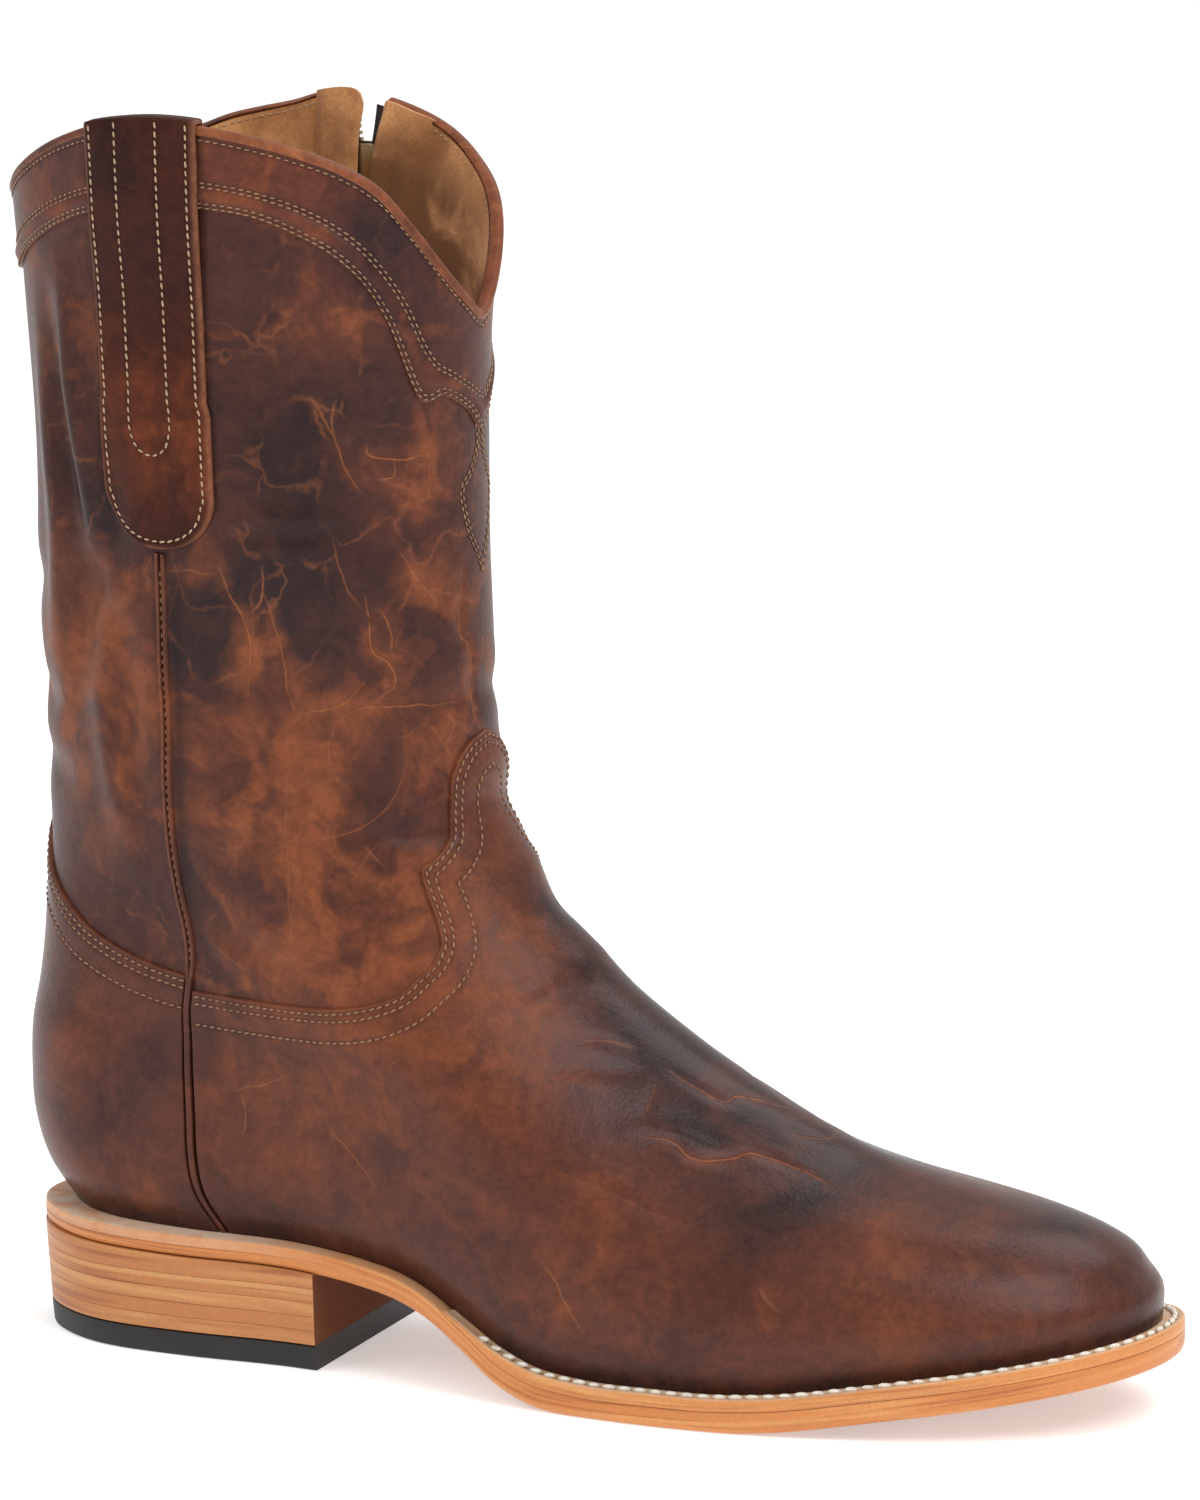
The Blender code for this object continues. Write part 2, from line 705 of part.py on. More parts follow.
def strap_path(rim):
    """Rows of the strap, from its round foot up the outside, over the rim and down the inside.

    A row has the level and the distance of the strap's inner face, then those of its outer face.
    """
    band = OVERLAY_GAP + OVERLAY_THICKNESS + GAP
    lining = -UPPER_WALL - GAP
    shoulder, shoulder_over, crown = (rim + times * GAP * LEVEL_PER_MM for times in (1, 3, 2))
    crown_over = crown + STRAP_THICKNESS * LEVEL_PER_MM
    rows = [(level, GAP, level, GAP + STRAP_THICKNESS) for level in STRAP_LEVELS]
    rows += [(level, band, level, band + STRAP_THICKNESS) for level in STRAP_BAND_LEVELS]
    rows += [
        (shoulder, band, shoulder_over, band + STRAP_THICKNESS),
        (crown, band / 2, crown_over, band),
        (crown, -UPPER_WALL / 2, crown_over, -UPPER_WALL),
        (shoulder, lining, shoulder_over, lining - STRAP_THICKNESS),
    ]
    for level in (STRAP_BAND_LEVELS[-1], STRAP_INSIDE):
        rows.append((level, lining, level, lining - STRAP_THICKNESS))
    return np.array(rows)


def build_pull_strap(look):
    """The pull strap: up the outer side, over the collar and a little way down inside."""
    rim = float(collar_level(STRAP_ANGLE))
    path = strap_path(rim)
    across = np.linspace(-1, 1, STRAP_COLUMNS)
    drop = np.clip((STRAP_ROUND - path[:, 0]) / (STRAP_ROUND - STRAP_FOOT), 0, STRAP_FOOT_FLAT)
    angles = STRAP_ANGLE + STRAP_HALF_ANGLE * across * np.sqrt(1 - drop[:, None] ** 2)
    shift = (collar_level(angles) - rim) * ease(STRAP_FOLLOWS_RIM, rim, path[:, :1])
    inside = upper_point(angles, path[:, 0:1] + shift, path[:, 1:2])
    outside = upper_point(angles, path[:, 2:3] + shift, path[:, 3:4])
    wall("pull_strap", outside, inside, look)


def seam_bead(name, line, levels, look):
    """A raised bead along a seam, given the angle of its line at each level."""
    middle = line(levels)
    width = 1 / mm_per_degree(middle, levels)
    across = np.array([-SEAM_HALF_WIDTH, -SEAM_CREST, SEAM_CREST, SEAM_HALF_WIDTH])
    height = np.array([SEAM_EDGE, SEAM_HEIGHT, SEAM_HEIGHT, SEAM_EDGE])
    angles = middle[:, None] + across * width[:, None]
    grid = np.broadcast_to(levels[:, None], angles.shape)
    outside = upper_point(angles, grid, GAP + height)
    inside = upper_point(angles, grid, GAP)
    wall(name, outside, inside, look)


def build_side_seams(look):
    """The beads on the side seams: from sole to strap outside, and from sole to zip inside."""
    outer = np.linspace(OVERLAY_FOOT, STRAP_FOOT - SEAM_BELOW_STRAP, SEAM_ROWS_OUTER)
    seam_bead("side_seam_outer", side_seam, outer, look)
    inner = np.linspace(OVERLAY_FOOT, ZIP_FOOT - SEAM_BELOW_ZIP, SEAM_ROWS_INNER)
    seam_bead("side_seam_inner", inner_seam, inner, look)


def inner_seam(level):
    """Angle of the inner side seam, which runs up to the foot of the zip."""
    share = ease(SEAM_CORNER + SEAM_TURN, ZIP_FOOT, level)
    return -side_seam(level) * (1 - share) + zip_angle(level) * share


def zip_strip(name, side, near, far, low_out, high_out, levels, look):
    """A strip along the zip, on one side of its middle, between two distances from the slot's edge."""
    edge = slot_half(levels)
    across = np.stack([edge + near, edge + far], -1) * side
    angles = np.stack([beside_zip(levels, across[:, k]) for k in range(2)], -1)
    grid = np.broadcast_to(levels[:, None], angles.shape)
    outside = upper_point(angles, grid, np.full(angles.shape, high_out))
    inside = upper_point(angles, grid, np.full(angles.shape, low_out))
    wall(name, outside, inside, look)


def build_zip(tape, teeth, lining):
    """The zip's two tapes and rows of teeth, and the guard behind its rear edge."""
    rim = float(collar_level(ZIP_ANGLE))
    closed = np.linspace(ZIP_FOOT - TAPE_BELOW_SLOT, SLOT_OPENS, TAPE_ROWS)
    opened = np.linspace(SLOT_OPENS, rim - TAPE_BELOW_RIM, TAPE_TOP_ROWS + 1)[1:]
    levels = np.concatenate([closed, opened])
    tooth_levels = levels.copy()
    tooth_levels[0] = ZIP_FOOT + TOOTH_ABOVE_SLOT
    tape_out = -UPPER_WALL - TAPE_GAP
    inner_edge = -SLOT_HALF + GAP
    for side, word in ((1, "front"), (-1, "rear")):
        zip_strip(f"zip_tape_{word}", side, inner_edge, inner_edge + TAPE_WIDTH,
                  tape_out - TAPE_THICKNESS, tape_out, levels, tape)
        zip_strip(f"zip_teeth_{word}", side, -TOOTH_INSET - TOOTH_WIDTH, -TOOTH_INSET,
                  tape_out + GAP, tape_out + GAP + TOOTH_HEIGHT, tooth_levels, teeth)
    guard_out = tape_out - TAPE_THICKNESS - GAP
    guard_near = GUARD_START - SLOT_HALF
    zip_strip("zip_guard", -1, guard_near, guard_near + GUARD_WIDTH,
              guard_out - GUARD_THICKNESS, guard_out, levels, lining)


def box(low, high):
    """A box between two corners, in the slider's own axes, as a bmesh."""
    low, high = np.array(low), np.array(high)
    shape = bmesh.new()
    bmesh.ops.create_cube(shape, size=1.0)
    for vertex in shape.verts:
        vertex.co = Vector((low + (high - low) * (np.array(vertex.co) + 0.5)) * MM)
    return shape


def cutter(name, shape):
    """A hidden helper that is joined to a part or cut from it."""
    mesh = bpy.data.meshes.new(name)
    shape.to_mesh(mesh)
    shape.free()
    helper = bpy.data.objects.new(name, mesh)
    helper.hide_render = True
    helper.display_type = "WIRE"
    bpy.data.collections["cutters"].objects.link(helper)
    return helper


def combine(part, helper, operation):
    """Adds a Boolean with a helper that is placed as the part is."""
    helper.matrix_world = part.matrix_world
    step = part.modifiers.new(helper.name, "BOOLEAN")
    step.operation = operation
    step.object = helper
    return step


def slider_frame():
    """Place of the slider: X across the zip, Y out of the boot, Z up."""
    angle = float(zip_angle(SLIDER_LEVEL))
    spot = Vector(upper_point(angle, SLIDER_LEVEL))
    out = Vector(outward(angle, SLIDER_LEVEL))
    out.z = 0.0
    out.normalize()
    up = Vector((0.0, 0.0, 1.0))
    across = out.cross(up)
    turn = Matrix((across, out, up)).transposed().to_4x4()
    return Matrix.Translation(spot * MM) @ turn


def build_slider(look):
    """The zip's slider: plates outside and inside joined by a post, and a crown for the pull."""
    half, tall = SLIDER_WIDTH / 2, SLIDER_HEIGHT / 2
    plate_high = PLATE_LIFT + PLATE_THICKNESS
    behind = -UPPER_WALL - TAPE_GAP - TAPE_THICKNESS - SLIDER_PLAY
    slider = place("zip_slider", box((-half, PLATE_LIFT, -tall), (half, plate_high, tall)), look)
    slider.matrix_world = slider_frame()
    post_top = tall - POST_BELOW_TOP
    post = box((-POST_HALF, behind - JOIN, post_top - POST_HEIGHT), (POST_HALF, PLATE_LIFT + JOIN, post_top))
    back = box((-half, behind - PLATE_THICKNESS, -tall), (half, behind, tall))
    reach = CROWN_BORE / 2 + CROWN_WALL
    crown_top = plate_high + CROWN_BORE + CROWN_WALL
    crown = box((-CROWN_WIDTH / 2, plate_high - JOIN, -reach), (CROWN_WIDTH / 2, crown_top, reach))
    bore_low = (-CROWN_WIDTH, plate_high, -CROWN_BORE / 2)
    bore = box(bore_low, (CROWN_WIDTH, plate_high + CROWN_BORE, CROWN_BORE / 2))
    for name, shape, operation in (
        ("slider_post", post, "UNION"),
        ("slider_back", back, "UNION"),
        ("slider_crown", crown, "UNION"),
        ("slider_bore", bore, "DIFFERENCE"),
    ):
        combine(slider, cutter(name, shape), operation)
    return Matrix.Translation((0.0, (plate_high + CROWN_BORE / 2) * MM, 0.0))


def build_pull(look, axis):
    """The pull tab: a framed plate whose top bar hangs in the slider's crown, its origin on the hinge."""
    half, bar = PULL_WIDTH / 2, PULL_THICKNESS / 2
    tab = place("zip_pull", box((-half, -bar, -PULL_LENGTH), (half, bar, bar)), look)
    tab.matrix_world = slider_frame() @ axis
    open_half = half - PULL_FRAME
    window = box((-open_half, -PULL_THICKNESS, -bar - PULL_WINDOW), (open_half, PULL_THICKNESS, -bar))
    combine(tab, cutter("pull_window", window), "DIFFERENCE")


def centre_on_floor():
    """Moves the boot so that the middle of its box stands on the origin."""
    bpy.context.view_layer.update()
    graph = bpy.context.evaluated_depsgraph_get()
    corners = []
    for part in bpy.data.collections["western_boot"].objects:
        if part.type == "MESH":
            solid = part.evaluated_get(graph)
            mesh = solid.to_mesh()
            corners += [solid.matrix_world @ vertex.co for vertex in mesh.vertices]
            solid.to_mesh_clear()
    low = [min(corner[k] for corner in corners) for k in range(3)]
    high = [max(corner[k] for corner in corners) for k in range(3)]
    root = bpy.data.objects.new("boot_origin", None)
    bpy.data.collections["western_boot"].objects.link(root)
    root.location = (-(low[0] + high[0]) / 2, -(low[1] + high[1]) / 2, -low[2])
    for collection in ("western_boot", "cutters"):
        for part in bpy.data.collections[collection].objects:
            if part is not root:
                part.parent = root


def main():
    """Clears the scene and builds the boot."""
    for old in list(bpy.data.objects):
        bpy.data.objects.remove(old, do_unlink=True)
    for name in ("western_boot", "cutters"):
        collection = bpy.data.collections.new(name)
        bpy.context.scene.collection.children.link(collection)
    upper = material("shaft_leather", DARK_LEATHER, 0.45)
    panel = material("panel_leather", DARK_LEATHER, 0.42)
    strap = material("strap_leather", STRAP_LEATHER, 0.40)
    lining = material("lining_leather", LINING_LEATHER, 0.70)
    brass = material("old_brass", OLD_BRASS, 0.35, 1.0)
    build_outsole(material("sole_leather", SOLE_LEATHER, 0.50))
    build_welt(material("welt_leather", WELT_LEATHER, 0.60))
    build_insole(lining)
    build_heel(material("lift_leather", LIFT_LEATHER, 0.50), material("heel_rubber", BLACK_RUBBER, 0.60))
    build_upper(upper)
    build_vamp(panel)
    build_counter(panel)
    build_collar_band(panel)
    build_pull_strap(strap)
    build_side_seams(panel)
    build_zip(material("zip_tape", DARK_TAPE, 0.80), brass, lining)
    build_pull(brass, build_slider(brass))
    centre_on_floor()


main()
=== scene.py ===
"""Looks of a western boot for the right foot: worn leathers, stitches, creases, sole, heel and zip.

Sizes are in millimetres, in the axes of the last, until a mesh is made. An angle, in degrees, runs
round the foot: 0 at the toe, 90 on the outer side, 180 at the heel and -90 on the inner side. A
level counts the sections of the last, from 0 at the sole to 17 above the collar.
"""

import logging
import math
from dataclasses import dataclass
from enum import Enum
from typing import Any, Callable, Sequence

import bmesh
import bpy
import numpy as np
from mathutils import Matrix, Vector, kdtree


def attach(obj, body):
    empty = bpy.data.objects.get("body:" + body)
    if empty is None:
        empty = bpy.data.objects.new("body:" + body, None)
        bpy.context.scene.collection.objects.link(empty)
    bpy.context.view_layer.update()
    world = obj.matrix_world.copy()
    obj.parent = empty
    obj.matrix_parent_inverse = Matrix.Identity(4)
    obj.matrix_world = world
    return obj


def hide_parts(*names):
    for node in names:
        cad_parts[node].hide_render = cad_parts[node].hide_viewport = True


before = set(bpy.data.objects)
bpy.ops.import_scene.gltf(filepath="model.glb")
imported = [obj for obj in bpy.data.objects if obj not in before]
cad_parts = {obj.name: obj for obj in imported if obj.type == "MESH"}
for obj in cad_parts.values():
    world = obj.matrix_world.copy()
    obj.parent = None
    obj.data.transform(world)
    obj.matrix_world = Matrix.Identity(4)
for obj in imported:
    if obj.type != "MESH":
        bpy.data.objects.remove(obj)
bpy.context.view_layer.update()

LOG = logging.getLogger("boot")
MM = 0.001
# Where the model's origin lies in the axes of the last
ORIGIN = np.array([147.811, 1.247, 0.0])
# Edges sharper than this are not shaded smooth
SHARP_ANGLE = math.radians(42)
# Gap under a piece that is sewn on, in mm
CLOSE = 0.04

Array = np.ndarray
Colour = tuple[float, float, float]
Sizes = tuple[float, float, float]
Spot = tuple[float, float]
Path = tuple[Array, Array]
Tints = dict[str, Array]
Sockets = dict[Any, Any]
Faces = Sequence[Sequence[int]]
Height = Callable[[Array], Array]
Look = bpy.types.Material
Piece = bpy.types.Object


class Body(Enum):
    """Bodies of the frame that pieces ride on."""

    BOOT = "boot"
    PULL = "pull_tab"


class Slot(Enum):
    """Material slots of the record."""

    SHAFT = "shaft_leather"
    PANEL = "panel_leather"
    STRAP = "strap_leather"
    SOLE = "sole_leather"
    WELT = "welt_leather"
    LIFT = "lift_leather"
    RUBBER = "heel_rubber"
    LINING = "lining_leather"
    TAPE = "zip_tape"
    METAL = "zip_metal"


class Form(Enum):
    """Small forms that are repeated along a path."""

    STITCH = "stitch"
    TOOTH = "tooth"


# Feather line, where the upper meets the sole: half widths in percent of the ball width
OUTLINE = np.array([
    # angle, outer, inner
    (0, 0.0, 0.0), (15, 18.1, 18.1), (30, 32.4, 33.0), (45, 42.9, 44.0), (60, 49.5, 49.5),
    (75, 52.2, 47.8), (90, 47.8, 40.1), (105, 38.0, 33.5), (120, 31.0, 30.8), (135, 29.9, 30.2),
    (150, 25.8, 25.8), (165, 14.3, 14.3), (180, 0.0, 0.0),
])

# Underside of the sole: place in percent of the length, height in percent of heel and of toe spring
SOLE_LINE = np.array([
    # place, heel, spring
    (-4.0, 107.5, 0.0), (13.3, 104.0, 0.0), (28.3, 99.6, 0.0), (33.0, 94.0, 0.0), (36.7, 86.0, 0.0),
    (40.0, 71.0, 0.0), (43.3, 46.8, 0.0), (46.7, 20.4, 0.0), (50.0, 5.3, 0.0), (54.3, -1.0, 0.0),
    (62.0, 0.0, -2.5), (67.5, 0.0, -1.5), (72.7, 0.0, 5.5), (81.7, 0.0, 30.6), (90.0, 0.0, 53.0),
    (97.3, 0.0, 75.3), (104.7, 0.0, 100.0),
])

# Edge of the sole: how far it stands out past the feather line
SOLE_MARGIN = np.array([
    # place and margin in mm
    (0.0, 10.0), (40.0, 8.4), (90.0, 7.0), (130.0, 6.5), (180.0, 6.5), (302.0, 7.0),
])

# Sections of the last: places in percent of the length, heights of the shaft, half widths of the ball
SECTIONS = np.array([
    # front, front height, back, back height, outer, inner, oval, follow, pinch
    (100.5, 7.3, 1.0, 10.5, 47.8, 40.1, 0.00, 1.00, 0.00),
    (101.2, 9.9, -1.7, 14.0, 51.6, 45.1, 0.00, 0.97, 0.00),
    (100.3, 11.7, -3.0, 17.7, 52.2, 46.7, 0.02, 0.90, 0.05),
    (98.7, 13.6, -3.3, 21.3, 51.1, 46.7, 0.06, 0.80, 0.18),
    (94.2, 15.2, -3.2, 25.0, 49.5, 46.2, 0.14, 0.66, 0.36),
    (85.7, 16.6, -2.5, 28.4, 47.3, 45.1, 0.26, 0.50, 0.52),
    (76.3, 18.6, -2.0, 31.7, 45.6, 44.0, 0.40, 0.34, 0.54),
    (68.0, 22.0, -1.7, 35.1, 44.0, 42.9, 0.56, 0.20, 0.48),
    (60.0, 26.1, -1.5, 38.4, 42.9, 42.3, 0.72, 0.09, 0.38),
    (52.7, 30.8, -1.5, 42.1, 42.9, 42.3, 0.86, 0.03, 0.28),
    (46.3, 36.6, -1.5, 46.3, 43.4, 42.9, 0.96, 0.00, 0.18),
    (41.8, 43.3, -1.5, 51.2, 44.5, 44.0, 1.00, 0.00, 0.08),
    (40.0, 51.2, -1.7, 57.3, 45.6, 45.1, 1.00, 0.00, 0.02),
    (39.5, 61.0, -2.0, 64.6, 47.3, 46.7, 1.00, 0.00, 0.00),
    (39.2, 73.2, -2.3, 75.0, 48.9, 48.4, 1.00, 0.00, 0.00),
    (39.2, 85.4, -3.0, 86.0, 50.0, 49.5, 1.00, 0.00, 0.00),
    (40.3, 96.0, -4.0, 95.1, 51.1, 50.5, 1.00, 0.00, 0.00),
    (41.2, 105.2, -4.7, 103.7, 51.6, 51.1, 1.00, 0.00, 0.00),
])

# Scalloped collar: level of its edge
COLLAR = np.array([
    # angle, level
    (0, 14.95), (10, 15.08), (22, 15.33), (33, 15.64), (43, 15.94), (53, 16.14), (63, 16.28), (72, 16.38),
    (84, 16.48), (98, 16.53), (114, 16.46), (125, 16.34), (145, 16.05), (162, 15.82), (180, 15.75),
])

# The same on the inner side, where it peaks at the zip
COLLAR_INNER = np.array([
    # angle, level
    (0, 14.95), (10, 15.08), (20, 15.30), (28, 15.54), (35, 15.74), (45, 15.96), (56, 16.18), (66, 16.33),
    (76, 16.44), (85, 16.49), (91, 16.46), (97, 16.39), (106, 16.32), (113, 16.26), (119, 16.18),
    (135, 15.98), (150, 15.86), (165, 15.78), (180, 15.75),
])

# Upper double row of stitches on the collar band
UPPER_ROW = np.array([
    # angle, level
    (0, 14.40), (9, 14.48), (17, 14.57), (25, 14.68), (28, 14.78), (33, 15.02), (41, 15.32), (52, 15.62),
    (62, 15.80), (72, 15.92), (84, 16.00), (100, 16.00), (115, 15.92), (126, 15.80), (145, 15.52),
    (162, 15.30), (180, 15.23),
])

# Lower double row, along the band's lower edge
BAND_EDGE = np.array([
    # angle, level
    (0, 14.22), (9, 14.36), (20, 14.47), (30, 14.50), (33, 14.66), (38, 14.95), (44, 15.20), (52, 15.43),
    (62, 15.62), (72, 15.76), (84, 15.83), (100, 15.83), (115, 15.76), (145, 15.36), (162, 15.14),
    (180, 15.07),
])

# Outer half of the drop sewn on the front of the shaft below the band
FRONT_DROP: tuple[Spot, ...] = (
    (9.0, 14.37), (3.5, 14.27), (2.0, 14.14), (6.0, 13.95), (11.9, 13.78), (8.5, 13.56), (3.0, 13.39),
    (0.0, 13.28),
)

# Upper edge of the vamp, from the tip of its tongue to the side seam
VAMP_EDGE = np.array([
    # angle, level
    (0, 12.03), (4, 12.00), (12, 11.89), (17, 11.73), (20, 11.55), (22, 11.30), (24.5, 11.03),
    (28, 10.87), (35, 10.64), (40.5, 10.42), (42, 10.20), (43.5, 9.93), (46, 9.63), (52, 9.21),
    (60.5, 8.74), (69, 8.22), (78.5, 7.71), (91, 7.11), (103, 6.68), (116, 6.35), (127, 6.20),
])

# Upper edge of the counter, from the side seam to its peak at the back
COUNTER_EDGE = np.array([
    # angle, level
    (119, 6.70), (128, 6.71), (135, 6.82), (143, 7.06), (151, 7.46), (157, 7.72), (163, 7.98),
    (168, 8.25), (174, 8.70), (180, 9.00),
])

# Side seam between vamp and counter, and up the shaft
SIDE_SEAM = np.array([
    # level, angle
    (0.0, 130.3), (1.1, 130.2), (2.1, 129.4), (3.2, 128.8), (4.4, 127.5), (5.6, 124.9), (6.7, 120.7),
    (7.8, 116.2), (9.2, 111.2), (10.0, 107.8), (10.9, 103.6), (11.5, 101.3), (12.5, 100.0), (13.5, 99.2),
])

# How far the tip of the toe is drawn in
TOE_TRIM = np.array([
    # level, distance in mm
    (0.0, 0.0), (1.0, 2.4), (2.0, 3.4), (3.0, 3.4), (4.0, 2.0), (5.0, 0.6), (6.0, 0.0), (7.0, 0.0),
])

# Middle of the zip
ZIP_LINE = np.array([
    # level, angle
    (0.0, -78.75), (3.5, -78.75), (5.0, -84.0), (6.5, -93.0), (8.0, -98.5), (9.0, -94.5), (10.0, -88.5),
    (11.0, -83.0), (12.0, -79.3), (13.0, -78.75), (17.0, -78.75),
])


def through(table: Array, at: Any, closed_angle: bool = False) -> Array:
    """Reads a smooth curve through the rows of a table.

    Args:
        table: Rows whose first column is the place.
        at: Places to read.
        closed_angle: Whether the table runs from 0 to 180 degrees and is mirrored past both ends.

    Returns:
        The other columns at those places.
    """
    places, rows = table[:, 0], table[:, 1:]
    if closed_angle:
        places = np.concatenate([-places[2:0:-1], places, 360 - places[-2:-4:-1]])
        rows = np.concatenate([rows[2:0:-1], rows, rows[-2:-4:-1]])
    at = np.clip(np.asarray(at, float), places[0], places[-1])
    slopes = np.gradient(rows, places, axis=0)
    k = np.clip(np.searchsorted(places, at, side="right") - 1, 0, len(places) - 2)
    step = (places[k + 1] - places[k])[..., None]
    t = (at - places[k])[..., None] / step
    ends = rows[k] * (1 + 2 * t) * (1 - t) ** 2 + rows[k + 1] * t * t * (3 - 2 * t)
    tangents = step * (slopes[k] * t * (1 - t) ** 2 - slopes[k + 1] * t * t * (1 - t))
    return ends + tangents


def ease(start: float, end: float, at: Any) -> Array:
    """Rises smoothly from 0 at start to 1 at end."""
    t = np.clip((np.asarray(at, float) - start) / (end - start), 0, 1)
    return t * t * (3 - 2 * t)


def bell(at: Any, power: int = 2) -> Array:
    """A bell curve, 1 where at is 0 and near 0 past 2 on either side."""
    return np.exp(-(np.asarray(at, float) ** power))


def turned(angle: Any) -> Array:
    """Brings an angle to the range from -180 to 180."""
    return (np.asarray(angle, float) + 180) % 360 - 180


def unit(vectors: Array) -> Array:
    """Vectors of length one."""
    return vectors / np.linalg.norm(vectors, axis=-1, keepdims=True)


def rounded(distance: Any, radius: float, least: float = 0.2) -> Array:
    """Share of a thickness at a distance from a rounded edge, from least at the edge to 1."""
    t = np.clip(np.asarray(distance, float) / radius, 0, 1)
    return least + (1 - least) * np.sqrt(1 - (1 - t) ** 2)


def smooth_line(points: Sequence[Sequence[float]], count: int) -> Array:
    """A smooth line of so many points through a few given ones.

    Args:
        points: The given points, in order.
        count: How many points the line gets.

    Returns:
        The line's points.
    """
    rows = np.array(points, float)
    steps = np.linalg.norm(np.diff(rows / np.ptp(rows, axis=0).clip(1e-6), axis=0), axis=1)
    places = np.concatenate([[0], np.cumsum(steps)])
    return through(np.column_stack([places, rows]), np.linspace(0, places[-1], count))


def beside(points: Array, line: Array) -> tuple[Array, Array, Array]:
    """Measures points against a line.

    Args:
        points: Points in space, one a row.
        line: Points of the line, in order.

    Returns:
        The distance of each point from the line, its place along it from 0 to 1, and the direction
        that is square to the line and to the way from it.
    """
    lengths = np.linalg.norm(np.diff(line, axis=0), axis=1)
    starts = np.concatenate([[0], np.cumsum(lengths)])
    nearest = np.full(len(points), np.inf)
    place = np.zeros(len(points))
    across = np.zeros((len(points), 3))
    for k, length in enumerate(lengths):
        step = line[k + 1] - line[k]
        t = np.clip((points - line[k]) @ step / length**2, 0, 1)
        way = points - line[k] - t[:, None] * step
        away = np.linalg.norm(way, axis=1)
        closer = away < nearest
        nearest[closer] = away[closer]
        place[closer] = (starts[k] + t[closer] * length) / starts[-1]
        across[closer] = np.cross(step, way[closer])
    return nearest, place, across


def close_to(points: Array, line: Array, reach: float) -> Array:
    """Finds the points that may lie within reach of a line.

    Args:
        points: Points in space, one a row.
        line: Points of the line.
        reach: The distance.

    Returns:
        Indices of the points.
    """
    middle = line.mean(axis=0)
    span = np.linalg.norm(line - middle, axis=1).max() + reach
    return np.nonzero(np.linalg.norm(points - middle, axis=1) < span)[0]


